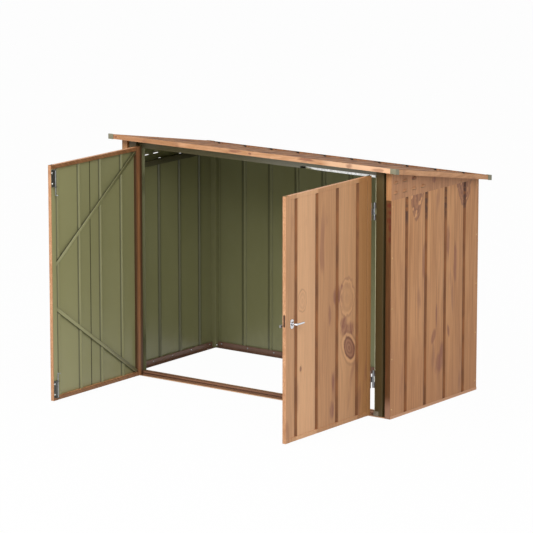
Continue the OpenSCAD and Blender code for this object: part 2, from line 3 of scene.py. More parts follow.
import bmesh
import bpy
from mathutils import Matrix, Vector


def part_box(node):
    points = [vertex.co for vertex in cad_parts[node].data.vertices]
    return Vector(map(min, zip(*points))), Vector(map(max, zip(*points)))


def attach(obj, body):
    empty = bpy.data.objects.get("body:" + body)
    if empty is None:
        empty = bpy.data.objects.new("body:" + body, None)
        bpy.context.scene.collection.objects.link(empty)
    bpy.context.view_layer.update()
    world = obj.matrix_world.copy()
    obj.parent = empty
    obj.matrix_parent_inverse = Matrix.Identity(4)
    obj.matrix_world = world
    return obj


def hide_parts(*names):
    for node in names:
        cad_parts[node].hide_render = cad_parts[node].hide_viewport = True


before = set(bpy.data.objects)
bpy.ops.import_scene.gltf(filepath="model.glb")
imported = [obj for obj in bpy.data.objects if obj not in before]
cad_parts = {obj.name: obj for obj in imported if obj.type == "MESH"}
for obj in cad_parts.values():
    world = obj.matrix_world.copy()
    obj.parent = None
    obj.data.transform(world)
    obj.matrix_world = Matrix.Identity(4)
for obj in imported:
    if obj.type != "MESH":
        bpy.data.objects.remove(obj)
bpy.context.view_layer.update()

# ---- Camera ----
# The shelter is seen from the right of its front and a little from above.
# The camera stands far off with a long lens, so uprights stay nearly parallel.
view_turn = math.radians(36.41)
view_rise = math.radians(11.63)
view_far = 21.227
view_lens = 227.7
view_aim = Vector((0.105, -0.49, 0.851))

view_line = Vector((
    math.sin(view_turn) * math.cos(view_rise),
    -math.cos(view_turn) * math.cos(view_rise),
    math.sin(view_rise),
))
camera = bpy.data.objects.new("camera", bpy.data.cameras.new("camera"))
camera.data.lens = view_lens
camera.data.clip_end = 500
camera.location = view_aim + view_far * view_line
camera.rotation_euler = (-view_line).to_track_quat("-Z", "Y").to_euler()
bpy.context.scene.collection.objects.link(camera)
bpy.context.scene.camera = camera
bpy.context.scene.view_settings.view_transform = "Standard"

# ---- Floor and light ----
# A plain pale studio floor that runs on out of view, with soft light all round.
# Two broad lamps stand in front, one a little to the left and one well to the right.
floor_half = 200
floor_white = (0.86, 0.86, 0.855, 1)
floor_glow = 0.975
sky_level = 0.32
lamp_size = 4.5
lamp_far = 9.0
lamp_aim = Vector((0, -0.4, 0.8))
lamps = (
    ("left_lamp", -14, 43, 360),
    ("right_lamp", 45, 32, 300),
)


class Shade:
    """One output among a finish's nodes. A sum or a product of it adds Math nodes."""

    def __init__(self, tree, port=None):
        self.tree = tree
        self.port = port

    def node(self, kind, settings=None, inputs=None, output=0):
        """Adds a node: its settings are set first, then its sockets, by name or number."""
        made = self.tree.nodes.new(kind)
        for key, value in (settings or {}).items():
            setattr(made, key, value)
        for key, value in (inputs or {}).items():
            if isinstance(value, Shade):
                self.tree.links.new(value.port, made.inputs[key])
            else:
                made.inputs[key].default_value = value
        return Shade(self.tree, made.outputs[output] if made.outputs else None)

    def maths(self, operation, *values):
        return self.node("ShaderNodeMath", {"operation": operation}, dict(enumerate(values)))

    def __add__(self, other):
        return self.maths("ADD", self, other)

    def __radd__(self, other):
        return self.maths("ADD", other, self)

    def __sub__(self, other):
        return self.maths("SUBTRACT", self, other)

    def __rsub__(self, other):
        return self.maths("SUBTRACT", other, self)

    def __mul__(self, other):
        return self.maths("MULTIPLY", self, other)

    def __rmul__(self, other):
        return self.maths("MULTIPLY", other, self)

    def __pow__(self, other):
        return self.maths("POWER", self, other)

    def __rpow__(self, other):
        return self.maths("POWER", other, self)

    def between(self, low, high):
        """Rises smoothly from 0 at low to 1 at high."""
        return self.node(
            "ShaderNodeMapRange", {"interpolation_type": "SMOOTHSTEP"}, {0: self, 1: low, 2: high}
        )

    def mix(self, first, second):
        """The first colour where this is 0, the second where it is 1."""
        return self.node(
            "ShaderNodeMix", {"data_type": "RGBA"}, {0: self, 6: first, 7: second}, 2
        )

    def noise(self, x, y, z, detail=2.0):
        where = self.node("ShaderNodeCombineXYZ", {}, {0: x, 1: y, 2: z})
        return self.node(
            "ShaderNodeTexNoise", {}, {"Vector": where, "Scale": 1.0, "Detail": detail}
        )


def new_finish(name):
    """An empty material and the start of its nodes."""
    material = bpy.data.materials.new(name)
    material.use_nodes = True
    material.node_tree.nodes.clear()
    return material, Shade(material.node_tree)


def seen_directly(shade):
    """1 for rays from the camera, a mirror or glass, and 0 for light that falls on things."""
    return shade.maths(
        "MAXIMUM",
        shade.node("ShaderNodeLightPath", output="Is Camera Ray"),
        shade.maths(
            "MAXIMUM",
            shade.node("ShaderNodeLightPath", output="Is Glossy Ray"),
            shade.node("ShaderNodeLightPath", output="Is Transmission Ray"),
        ),
    )


floor_finish, shade = new_finish("studio_floor")
floor_lit = shade.node("ShaderNodeBsdfDiffuse", {}, {"Color": floor_white})
floor_bright = shade.node("ShaderNodeEmission", {}, {"Color": (1, 1, 1, 1), "Strength": 1.0})
floor_mixed = shade.node(
    "ShaderNodeMixShader", {}, {0: seen_directly(shade) * floor_glow, 1: floor_lit, 2: floor_bright}
)
shade.node("ShaderNodeOutputMaterial", {}, {"Surface": floor_mixed})

floor_mesh = bpy.data.meshes.new("floor")
floor_mesh.from_pydata(
    [
        (-floor_half, -floor_half, 0),
        (floor_half, -floor_half, 0),
        (floor_half, floor_half, 0),
        (-floor_half, floor_half, 0),
    ],
    [],
    [(0, 1, 2, 3)],
)
floor_mesh.materials.append(floor_finish)
floor = bpy.data.objects.new("floor", floor_mesh)
bpy.context.scene.collection.objects.link(floor)

world = bpy.data.worlds.new("studio")
world.use_nodes = True
world.node_tree.nodes.clear()
bpy.context.scene.world = world
sky = Shade(world.node_tree)
sky_light = sky.node(
    "ShaderNodeBackground",
    {},
    {"Color": (1, 1, 1, 1), "Strength": sky_level + seen_directly(sky) * (1 - sky_level)},
)
sky.node("ShaderNodeOutputWorld", {}, {"Surface": sky_light})

for name, turn, rise, power in lamps:
    turn, rise = math.radians(turn), math.radians(rise)
    away = Vector((
        math.sin(turn) * math.cos(rise), -math.cos(turn) * math.cos(rise), math.sin(rise),
    ))
    lamp = bpy.data.objects.new(name, bpy.data.lights.new(name, "AREA"))
    lamp.data.size = lamp_size
    lamp.data.energy = power
    lamp.location = lamp_aim + away * lamp_far
    lamp.rotation_euler = away.to_track_quat("Z", "Y").to_euler()
    bpy.context.scene.collection.objects.link(lamp)

# ---- Base rails ----
# Folded steel channels round three sides of the base, painted reddish brown.
# The wall sheets stand in them, and the flange inside is bolted to the ground.
rail_paint = (122, 88, 72)
rail_worn = (146, 112, 92)
hem_r = 0.0019
dome_out = 0.89


def tint(red, green, blue):
    """A colour on the 0 to 255 scale as the values that the shader wants."""
    steps = [channel / 255 for channel in (red, green, blue)]
    return tuple(c / 12.92 if c <= 0.04045 else ((c + 0.055) / 1.055) ** 2.4 for c in steps) + (1,)


def surface(shade, colour, roughness, bump=None, depth=0.0004, metallic=0.0, coat=0.0):
    """Ends a finish in one Principled shader, with an optional bump."""
    inputs = {"Base Color": colour, "Roughness": roughness, "Metallic": metallic}
    inputs["Coat Weight"] = coat
    inputs["Coat Roughness"] = 0.3
    if bump is not None:
        inputs["Normal"] = shade.node(
            "ShaderNodeBump", {}, {"Height": bump, "Distance": depth, "Strength": 1.0}
        )
    shade.node(
        "ShaderNodeOutputMaterial", {},
        {"Surface": shade.node("ShaderNodeBsdfPrincipled", {}, inputs)},
    )


def rest_place(shade):
    """Place on the object at rest, as its X, Y and Z in metres."""
    where = shade.node("ShaderNodeTexCoord", output="Object")
    return [shade.node("ShaderNodeSeparateXYZ", {}, {0: where}, axis) for axis in "XYZ"]


def painted(name, colour, mottle, rough=0.42, ribs=None, fade=None):
    """Baked enamel: slow changes of tone, a fine orange-peel skin and paler dust low down.

    ribs is (axis, first, pitch, half width, amount), for painted shade along the feet of pressed ribs,
    amount being how dark the lamp-lit facet of each rib is painted.
    fade is (axis, from, to, colour), for a slow change to another colour along the piece.
    """
    material, shade = new_finish(name)
    x, y, z = rest_place(shade)
    slow = shade.noise(x * 3, y * 3, z * 2, 3).between(0.3, 0.7)
    peel = shade.noise(x * 260, y * 260, z * 260, 1)
    dust = shade.noise(x * 26, y * 26, z * 9, 4).between(0.45, 0.75)
    low = z.between(0.22, 0.0)
    tone = (slow * 0.22 + dust * (0.08 + low * 0.3)).mix(tint(*colour), tint(*mottle))
    if fade:
        axis, start, end, other = fade
        tone = ({"X": x, "Y": y, "Z": z}[axis].between(start, end) * 0.9).mix(tone, tint(*other))
    # Painted shade along each rib: dark lines at its feet and a darkened facet where the lamps light it.
    if ribs:
        axis, first, pitch, half, amount = ribs
        turns = ({"X": x, "Y": y}[axis] - first) * (1 / pitch)
        off = (turns - shade.maths("ROUND", turns)) * pitch
        near = off.between(-half - 0.014, -half - 0.003) * off.between(-half + 0.004, -half)
        facet = off.between(-half, -half + 0.003) * off.between(half * 0.4, -half * 0.2)
        beyond = off.between(half - 0.004, half) * off.between(half + 0.009, half + 0.003)
        rib_shade_colour = tuple(channel * 0.5 for channel in colour)
        tone = (near * 0.72 + facet * amount + beyond * 0.3).mix(tone, tint(*rib_shade_colour))
    surface(shade, tone, rough + dust * 0.12, peel, 0.00012)
    return material


def new_piece(name, points, faces, finishes, body, slot_name, skins=None, replaced=(), soft=30):
    """Makes a mesh piece, shades its soft bends smooth, hides the CAD nodes it replaces and hangs it on its
    body.
    """
    mesh = bpy.data.meshes.new(name)
    mesh.from_pydata([tuple(p) for p in points], [], faces)
    for finish in finishes:
        mesh.materials.append(finish)
    if skins:
        mesh.polygons.foreach_set("material_index", skins)
    shell = bmesh.new()
    shell.from_mesh(mesh)
    bmesh.ops.recalc_face_normals(shell, faces=shell.faces)
    shell.to_mesh(mesh)
    shell.free()
    mesh.polygons.foreach_set("use_smooth", [True] * len(mesh.polygons))
    mesh.set_sharp_from_angle(angle=math.radians(soft))
    mesh.update()
    piece = bpy.data.objects.new(name, mesh)
    bpy.context.scene.collection.objects.link(piece)
    if replaced:
        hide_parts(*replaced)
    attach(piece, body)
    return piece


def ring_faces(rings, sides, foot=True):
    """Faces of a stack of rings of points, closed at the head, and at the foot if asked."""
    faces = []
    for r in range(rings - 1):
        for k in range(sides):
            n = (k + 1) % sides
            faces.append((r * sides + k, r * sides + n, (r + 1) * sides + n, (r + 1) * sides + k))
    if foot:
        faces.append(tuple(range(sides)))
    faces.append(tuple(range((rings - 1) * sides, rings * sides)))
    return faces


def swept(points, radius, sides=12):
    """Points and faces of a round bar along a path, with domed ends."""
    path = [Vector(p) for p in points]
    ring_points = []
    start = (path[1] - path[0]).normalized()
    side = start.orthogonal().normalized()
    stations = []
    for i, here in enumerate(path):
        ahead = path[min(i + 1, len(path) - 1)] - path[max(i - 1, 0)]
        stations.append((here, ahead.normalized(), 1.0))
    first, last = stations[0], stations[-1]
    domes = [(0.98, 0.2), (0.8, 0.6), (0.45, dome_out)]
    head = [(first[0] - first[1] * radius * out, first[1], wide) for wide, out in reversed(domes)]
    tail = [(last[0] + last[1] * radius * out, last[1], wide) for wide, out in domes]
    for here, ahead, wide in head + stations + tail:
        side = (side - ahead * side.dot(ahead)).normalized()
        other = ahead.cross(side)
        for k in range(sides):
            turn = 2 * math.pi * k / sides
            ring_points.append(here + (side * math.cos(turn) + other * math.sin(turn)) * radius * wide)
    return ring_points, ring_faces(len(ring_points) // sides, sides)


def joined(parts):
    """Several lots of points and faces as one."""
    points, faces = [], []
    for more_points, more_faces in parts:
        base = len(points)
        points.extend(more_points)
        faces.extend(tuple(base + i for i in face) for face in more_faces)
    return points, faces


def repaint(node, finish):
    """Gives a carried-over CAD node its finish."""
    for material_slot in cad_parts[node].material_slots:
        material_slot.material = finish


rail_finish = painted("brown_enamel", rail_paint, rail_worn, 0.38)
side_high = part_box("base_rail_right")[1]
back_rail_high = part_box("base_rail_back")[1]
lip_brown = (222, 166, 122)
lips = (
    ("base_rail_back", "Y", back_rail_high.y), ("base_rail_left", "X", -side_high.x),
    ("base_rail_right", "X", side_high.x),
)
for node, axis, face_at in lips:
    inward = -1 if face_at > 0 else 1
    fade = (axis, face_at + inward * 0.0016, face_at + inward * 0.0002, lip_brown)
    lip_finish = painted(f"{node}_enamel", rail_paint, rail_worn, 0.38, fade=fade)
    repaint(node, lip_finish)

post_low, post_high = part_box("post_front_right")
back_post_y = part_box("posts_back")[0].y
upstand_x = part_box("top_rails_side")[1].x - 0.00075
upstand_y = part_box("top_rail_back")[1].y - 0.00075
rail_end_x = -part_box("sill")[0].x
hem_z = side_high.z - hem_r / 2
hem_runs = [
    [(upstand_x, post_high.y, hem_z), (upstand_x, back_post_y, hem_z)],
    [(-upstand_x, post_high.y, hem_z), (-upstand_x, back_post_y, hem_z)],
    [(-rail_end_x, upstand_y, hem_z), (rail_end_x, upstand_y, hem_z)],
]
new_piece(
    "base_rail_hems", *joined([swept(run, hem_r, 8) for run in hem_runs]),
    [rail_finish], "shelter", "brown_rail",
)

# ---- Screws ----
# Pan-head screws, zinc-plated inside and pine-coloured outside, hold sheets and fittings.
# Each has a pressed washer, a domed head and a cross recess painted near black as shade.
screw_r = 0.0042
screw_pitch = 0.2170


def plated(name, colour, rough, spread=0.12, cell=0.012):
    """Zinc: metal with the faint crystal patches of galvanising."""
    material, shade = new_finish(name)
    where = shade.node("ShaderNodeTexCoord", output="Object")
    cells = shade.node(
        "ShaderNodeTexVoronoi", {}, {"Vector": where, "Scale": 1 / cell}, "Color"
    )
    patch = shade.node("ShaderNodeSeparateColor", {}, {0: cells}, "Red")
    x, y, z = rest_place(shade)
    mottle = shade.noise(x * 40, y * 40, z * 40, 4)
    dull = tuple(channel * 0.72 for channel in colour)
    tone = (patch * 0.5 + mottle * 0.5).mix(tint(*dull), tint(*colour))
    surface(shade, tone, rough + patch * spread, mottle, 0.00008, metallic=1.0)
    return material


zinc = plated("bright_zinc", (206, 208, 210), 0.3)


def flat_finish(name, colour, rough):
    """One plain tone broken up by fine grime, for screws, slots and other small things."""
    material, shade = new_finish(name)
    x, y, z = rest_place(shade)
    grime = shade.noise(x * 300, y * 300, z * 300, 3)
    lighter = tuple(min(255, channel * 1.5 + 8) for channel in colour)
    surface(shade, grime.mix(tint(*colour), tint(*lighter)), rough)
    return material


# Near black painted shade for small recesses: the screws' crosses, the ring in the lever's rose and the
# keyhole.
recess_shade = flat_finish("recess_shade", (28, 24, 20), 0.8)


def turned(place, axis, profile, sides=32, foot=True):
    """A lathe-turned body: profile gives (radius, distance along the axis)."""
    axis = Vector(axis).normalized()
    side = axis.orthogonal().normalized()
    other = axis.cross(side)
    points = []
    for wide, out in profile:
        for k in range(sides):
            turn = 2 * math.pi * k / sides
            flat = side * math.cos(turn) + other * math.sin(turn)
            points.append(Vector(place) + flat * wide + axis * out)
    return points, ring_faces(len(profile), sides, foot)


def screw_head(place, facing, radius):
    """A washer and a domed head standing on a surface that faces along facing."""
    profile = [(1.3, -0.1), (1.3, 0.1), (1.02, 0.2), (1.0, 0.42), (0.82, 0.66), (0.5, 0.8)]
    return turned(place, facing, [(wide * radius, out * radius) for wide, out in profile], 12, False)


def screw_cross(place, facing, radius):
    """The two arms of the recess, just proud of the head."""
    facing = Vector(facing).normalized()
    side = facing.orthogonal().normalized()
    other = facing.cross(side)
    top = Vector(place) + facing * radius * 0.82
    points, faces = [], []
    for long_way, short_way in ((side, other), (other, side)):
        base = len(points)
        for a, b in ((-0.42, -0.1), (0.42, -0.1), (0.42, 0.1), (-0.42, 0.1)):
            points.append(top + long_way * radius * a + short_way * radius * b)
        faces.append((base, base + 1, base + 2, base + 3))
    return points, faces


def screws(name, places, facing, body, finish=zinc, slot_name="galvanised", radius=screw_r):
    """One piece with a screw at each place."""
    heads = joined([screw_head(place, facing, radius) for place in places])
    crosses = joined([screw_cross(place, facing, radius) for place in places])
    points, faces = joined([heads, crosses])
    skins = [0] * len(heads[1]) + [1] * len(crosses[1])
    return new_piece(name, points, faces, [finish, recess_shade], body, slot_name, skins, soft=50)


def spread(first, last, pitch):
    """Evenly spaced places between two ends, near the given pitch."""
    count = max(1, round((last - first) / pitch))
    return [first + (last - first) * k / count for k in range(count + 1)]


rail_screw_z = side_high.z * 0.62
upstand_in = 0.0009
side_rows = spread(-0.40, 0.42, screw_pitch)
back_row = spread(-0.985, 0.985, screw_pitch)
for part, side in (("left", -1), ("right", 1)):
    places = [(side * (upstand_x - upstand_in), y, rail_screw_z) for y in side_rows]
    screws(f"base_screws_{part}", places, (-side, 0, 0), "shelter")
places = [(x, upstand_y - upstand_in, rail_screw_z) for x in back_row]
screws("base_screws_back", places, (0, -1, 0), "shelter")

# ---- Corner posts ----
# Folded square tubes at the four corners, the front two in printed sheet.
# Each front post is in two lengths, joined where the wall sheets end.
pine_light = (226, 172, 120)
pine_dark = (186, 130, 84)
pine_stain = (148, 94, 72)
pine_knot = (104, 56, 40)
post_pale_shaded = (127, 86, 47)
post_deep_shaded = (93, 56, 25)
frame_wall = 0.0015
sheet_wall = 0.001
post_bend = 0.003
post_seam = 0.0012


def ellipse(u, v, middle_u, middle_v, half_u, half_v, lean=0.0):
    """1 on the rim of an ellipse, less inside it and more outside."""
    off_v = v - middle_v
    off_u = u - middle_u + off_v * lean
    return ((off_u * (1 / half_u)) ** 2 + (off_v * (1 / half_v)) ** 2) ** 0.5


def pine(name, across, along, light=pine_light, dark=pine_dark, stain=0.5, knots=(), stains=(),
         swirls=(), zones=(), halos=(), wild=0.0, groove=None, eye=pine_knot, blot=pine_stain, low=0.0,
         quick=1.0, speckle=0.0, overhang_shade=0.0):
    """Printed knotty pine under a clear satin coat.

    across and along are rest axes: places across add up, so the print runs on round a bend.
    knots and stains are (across, along, half width, half height); knots bend the grain.
    swirls are patches of curled grain that narrow downwards and halos are thin rings, given alike.
    zones are (which, first, last, colour, amount), which being "u" across or "v" along.
    wild is how many of the cells of a loose pattern hold a knot.
    groove is (axis, floor, mouth, first, pitch, half width, foot, top): dark brown in the groove, partly the
    print and partly painted shade, with a softer painted shadow at its lips.
    """
    material, shade = new_finish(name)
    places = dict(zip("XYZ", rest_place(shade)))
    u = places[across[0]]
    for axis in across[1:]:
        u = u + places[axis]
    v = places[along]
    grain = u + (shade.noise(u * 2.6, v * 0.8 * quick, 3.0, 1) - 0.5) * 0.05
    wander = shade.noise(u * 26, v * 12, 21.0, 3) - 0.5
    eyes = []
    for knot in knots:
        reach = ellipse(u, v, *knot)
        eyes.append(reach)
        grain = grain - (u - knot[0]) * reach.between(2.4, 0.5) * 0.8
    if wild:
        spot = shade.node("ShaderNodeCombineXYZ", {}, {0: u * 4.2, 1: v * 1.15, 2: 0.0})
        cells = {"Vector": spot, "Scale": 1.0, "Randomness": 0.9}
        flat = {"voronoi_dimensions": "2D"}
        chance = shade.node("ShaderNodeTexVoronoi", flat, cells, "Color")
        chance = shade.node("ShaderNodeSeparateColor", {}, {0: chance}, "Green")
        holds = chance.between(1 - wild, 1 - wild + 0.02)
        centre = shade.node("ShaderNodeTexVoronoi", flat, cells, "Position")
        centre_u = shade.node("ShaderNodeSeparateXYZ", {}, {0: centre}, "X") * (1 / 4.2)
        centre_v = shade.node("ShaderNodeSeparateXYZ", {}, {0: centre}, "Y") * (1 / 1.15)
        reach = ellipse(u, v, centre_u, centre_v, 0.036, 0.054, 0.15) + (1 - holds) * 50
        eyes.append(reach)
        grain = grain - (u - centre_u) * reach.between(2.4, 0.5) * 0.8
    broad = shade.noise(grain * 8, v * 0.55 * quick, 1.0, 2).between(0.34, 0.66)
    bands = shade.noise(grain * 40, v * 1.5 * quick, 5.0, 2).between(0.36, 0.64)
    lines = shade.noise(grain * 96, v * 2.4 * quick, 7.0, 2).between(0.4, 0.62)
    fibre = shade.noise(grain * 190, v * 6.0 * quick, 9.0, 3).between(0.3, 0.7)
    pores = shade.noise(grain * 620, v * 14.0 * quick, 13.0, 2).between(0.62, 0.7)
    stained = shade.noise(grain * 12, v * 2.0 * quick, 17.0, 2).between(0.6, 0.74)
    tone = (broad * 0.26 + bands * 0.28 + lines * 0.34 + fibre * 0.16).mix(tint(*light), tint(*dark))
    for which, first, last, colour, amount in zones:
        place = u if which == "u" else v
        soft = min(0.012 if which == "u" else 0.05, (last - first) / 4)
        inside = place.between(first - soft, first + soft) * place.between(last + soft, last - soft)
        tone = (inside * amount).mix(tone, tint(*colour))
    # Painted shade: the print darkens towards the bottom of the sheet, for the lesser light near the ground.
    if low:
        tone = (v.between(0.85, 0.05) * low).mix(tone, tint(*dark))
    tone = (stained * stain).mix(tone, tint(*pine_stain))
    tone = (pores * 0.16).mix(tone, tint(*eye))
    for patch in stains:
        reach = ellipse(u, v, *patch) + wander * 0.9
        tone = (reach.between(1.15, 0.5) * (lines * 0.35 + 0.55)).mix(tone, tint(*blot))
    for ring in halos:
        reach = ellipse(u, v, *ring) + wander * 0.7
        inner = (shade.maths("SINE", reach * 11) * 0.5 + 0.5) * reach.between(0.9, 0.8)
        tone = (reach.between(0.86, 0.94) * reach.between(1.06, 0.98) * 0.45).mix(tone, tint(*light))
        tone = (inner * 0.14).mix(tone, tint(*blot))
        tone = (reach.between(1.0, 1.08) * reach.between(1.24, 1.12) * 0.3).mix(tone, tint(*blot))
    for swirl_u, swirl_v, half_u, half_v in swirls:
        rise = (v - swirl_v) * (1 / half_v)
        widening = shade.maths("MAXIMUM", rise * 0.34 + 0.62, 0.2)
        off = shade.maths("DIVIDE", (u - swirl_u) * (1 / half_u), widening)
        reach = (off ** 2 + (rise ** 2) ** 2) ** 0.5 + wander * 0.55
        inside = reach.between(1.08, 0.86)
        curls = (shade.maths("SINE", reach * 15 + wander * 6) * 0.5 + 0.5) * inside
        pale = shade.noise(u * 34, v * 20, 33.0, 1).between(0.56, 0.64) * inside
        tone = (inside * 0.5).mix(tone, tint(*pine_stain))
        tone = (curls * 0.5).mix(tone, tint(*eye))
        tone = (pale * 0.85).mix(tone, tint(*light))
    for reach in eyes:
        reach = reach + wander * 0.34
        inside = reach.between(0.78, 0.68)
        rings = (shade.maths("SINE", reach * 22) * 0.5 + 0.5) * inside
        tone = (reach.between(1.3, 1.14) * reach.between(1.02, 1.1) * 0.2).mix(tone, tint(*eye))
        tone = (reach.between(1.04, 0.96) * reach.between(0.78, 0.86) * 0.6).mix(tone, tint(*light))
        tone = (inside * 0.62).mix(tone, tint(*blot))
        tone = (rings * 0.42).mix(tone, tint(*eye))
        tone = (reach.between(0.6, 0.68) * reach.between(0.82, 0.74) * 0.6).mix(tone, tint(*eye))
    if speckle:
        flecks = shade.noise(u * 240, v * 75, 41.0, 2).between(0.42, 0.66)
        tone = (flecks * speckle).mix(tone, tint(*dark))
    # Grooves: dark brown that is partly the print's colour and partly painted shade, with a softer painted
    # shadow over each lip.
    if groove:
        axis, floor_at, mouth_at, first, pitch, half, foot, top = groove
        turns = (u - first) * (1 / pitch)
        off = shade.maths("ABSOLUTE", turns - shade.maths("ROUND", turns)) * pitch
        below = places[axis].between(mouth_at, floor_at)
        ends = v.between(foot, foot + 0.004) * v.between(top, top - 0.004)
        lips = off.between(half + 0.009, half - 0.003) * 0.55 * ends
        sunk = shade.maths("MAXIMUM", below, lips)
        # Painted shadow of the roof's overhang: mottled near black at the tops of the grooves, from about
        # 1.16 m up, on the sheets that ask for it.
        overhang_shadow = shade.noise(u * 30, v * 24, 51.0, 3).between(0.36, 0.56) * v.between(1.16, 1.25)
        mottle = shade.noise(u * 14, v * 5, 55.0, 2)
        brown = mottle.between(0.35, 0.65).mix(tint(146, 88, 38), tint(112, 64, 22))
        tone = (sunk * 0.93).mix(tone, (overhang_shadow * overhang_shade).mix(brown, tint(62, 24, 8)))
    surface(shade, tone, 0.5 + fibre * 0.08, fibre + bands * 0.5, 0.0002, coat=0.06)
    return material


def rounded(path, radius, closed=False, steps=4):
    """The path with each of its bends drawn out into a curve."""
    path = [Vector(p) for p in path]
    count = len(path)
    out = []
    for i, here in enumerate(path):
        if not closed and i in (0, count - 1):
            out.append(here)
            continue
        before = path[i - 1] - here
        after = path[(i + 1) % count] - here
        reach = min(radius / math.tan(before.angle(after) / 2), before.length * 0.45, after.length * 0.45)
        start = here + before.normalized() * reach
        end = here + after.normalized() * reach
        for k in range(steps + 1):
            t = k / steps
            out.append(start * (1 - t) ** 2 + here * 2 * t * (1 - t) + end * t ** 2)
    return out


def inner_side(path, thick, closed=False):
    """The path moved to its left by the sheet's thickness."""
    count = len(path)
    out = []
    for i, here in enumerate(path):
        normals = []
        for a, b in ((i - 1, i), (i, i + 1)):
            if closed or (a >= 0 and b < count):
                run = path[b % count] - path[a % count]
                normals.append(Vector((-run.y, run.x)).normalized())
        middle = sum(normals, Vector((0, 0))).normalized()
        out.append(here + middle * thick / max(0.4, middle.dot(normals[0])))
    return out


def folded(name, path, thick, low, high, body, slot_name, outside, inside, closed=False, replaced=(),
           soft=40):
    """A folded sheet. path is the section's outer face, and the metal lies to its left.

    low and high turn a point of the section into a place at each of the sheet's two ends.
    """
    outer = [Vector(p) for p in path]
    inner = inner_side(outer, thick, closed)
    count = len(outer)
    points = [end(*p) for end in (low, high) for p in outer + inner]
    faces, skins = [], []
    for i in range(count if closed else count - 1):
        j = (i + 1) % count
        faces.append((i, j, 2 * count + j, 2 * count + i))
        faces.append((count + j, count + i, 3 * count + i, 3 * count + j))
        faces.append((i, count + i, count + j, j))
        faces.append((2 * count + i, 2 * count + j, 3 * count + j, 3 * count + i))
        skins.extend((0, 1, 0, 0))
    if not closed:
        for i in (0, count - 1):
            faces.append((i, 2 * count + i, 3 * count + i, count + i))
            skins.append(0)
    return new_piece(name, points, faces, [outside, inside], body, slot_name, skins, replaced, soft)


def oblong(x0, y0, x1, y1):
    """Corners of a closed section, so that its metal lies inside."""
    return [(x0, y0), (x1, y0), (x1, y1), (x0, y1)]


back_post_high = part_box("posts_back")[1]
roof_fall = (post_high.z - back_post_high.z) / (back_post_y - post_low.y)


def roof_under(y):
    """Height of the underside of the roof sheets."""
    return post_high.z - (y - post_low.y) * roof_fall


def tube(side, x0, x1, y0, y1):
    """The section of a square tube with soft corners, on one side of the shelter."""
    across = sorted((side * x0, side * x1))
    return rounded(oblong(across[0], y0, across[1], y1), post_bend, True)


def upright(name, path, foot, head, node, outside, inside, slot_name="green_paint", closed=True):
    """A folded sheet that stands on the shelter. head gives its height at each y."""
    folded(
        name, path, frame_wall, lambda x, y: (x, y, foot), lambda x, y: (x, y, head(y)),
        "shelter", slot_name, outside, inside, closed, [node],
    )


green_enamel = painted("green_enamel", (132, 131, 90), (152, 151, 116), 0.36)
wall_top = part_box("wall_right")[1].z
post_red = (104, 38, 16)
# The front posts' print is written dark, painted shade for the open door's shadow on them. Its foot zone is
# lighter, painted light where light gets under the door.
post_foot_lit = ("v", -0.1, 0.105, (196, 150, 124), 0.75)
post_stains = [
    (0.552, 1.344, 0.024, 0.018), (0.556, 1.300, 0.022, 0.018), (0.548, 1.250, 0.020, 0.022),
    (0.558, 1.205, 0.018, 0.024), (0.550, 1.130, 0.014, 0.020),
]
post_pine_shaded = pine(
    "post_print_shaded", "XY", "Z", post_pale_shaded, post_deep_shaded, 0.6, stains=post_stains, zones=[post_foot_lit],
    eye=post_red, blot=post_red,
)
post_pine_top = pine("post_top_print", "XY", "Z", (204, 152, 104), (172, 120, 74), 0.2)
for side, part in ((-1, "left"), (1, "right")):
    node = f"post_front_{part}"
    outline = tube(side, post_low.x, post_high.x, post_low.y, post_high.y)
    upright(f"{node}_lower", outline, post_low.z, lambda y: wall_top - post_seam, node,
            post_pine_shaded, green_enamel, "wood_print_wall")
    upright(f"{node}_upper", outline, wall_top, roof_under, node,
            post_pine_top, green_enamel, "wood_print_wall")
    outline = tube(side, post_low.x, post_high.x, back_post_y, back_post_high.y)
    upright(f"post_back_{part}", outline, post_low.z, roof_under, "posts_back",
            green_enamel, green_enamel)

# ---- Door frame ----
# Folded olive jambs with a sheet painted near black as shade in the slot, joining each to its post, and a
# boxed header over.
# The stops stand behind the hinge gaps, and grey plastic blocks close the jambs' feet.
# Painted shade: the jambs' grey-green is written as the dark olive that they show in the open door's shadow.
olive_enamel_shaded = painted("olive_enamel_shaded", (80, 66, 33), (98, 84, 50), 0.5)
stop_enamel_lit = painted("stop_enamel_lit", (232, 228, 186), (240, 238, 206), 0.4)
bright_zinc = plated("bright_zinc", (252, 252, 250), 0.1, 0.04)
# Near black painted shade for the deep slot between each jamb and its post.
jamb_slot_shade = painted("jamb_slot_shade", (44, 38, 20), (58, 50, 32), 0.6)
# Painted shadow: the header fades to dark olive towards its left end, for the shade of the roof's overhang
# and the open left door.
header_enamel_shaded_left = painted(
    "header_enamel_shaded_left", (144, 141, 124), (160, 156, 142), 0.45, fade=("X", 0.35, -0.25, (112, 104, 72)),
)
shaded_rail = painted("shaded_rail", (84, 80, 56), (100, 96, 72), 0.5)
block_plastic = painted("grey_plastic", (140, 130, 112), (158, 150, 134), 0.5)
slot_d = 0.025
jamb_low, jamb_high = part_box("jamb_right")
slot_width = 0.018
slot_clear = 0.0002
jamb_outer_x = post_low.x - slot_width
for side, node in ((-1, "jamb_left"), (1, "jamb_right")):
    outline = tube(side, jamb_low.x, jamb_outer_x, jamb_low.y, jamb_high.y)
    upright(f"{node}_tube", outline, jamb_low.z, roof_under, node, olive_enamel_shaded, olive_enamel_shaded)
    slot_y = jamb_low.y + slot_d
    across = sorted((side * (jamb_outer_x + slot_clear), side * (jamb_high.x - slot_clear)))
    upright(f"{node}_slot", [(across[0], slot_y), (across[1], slot_y)], jamb_low.z, roof_under, node,
            jamb_slot_shade, jamb_slot_shade, closed=False)


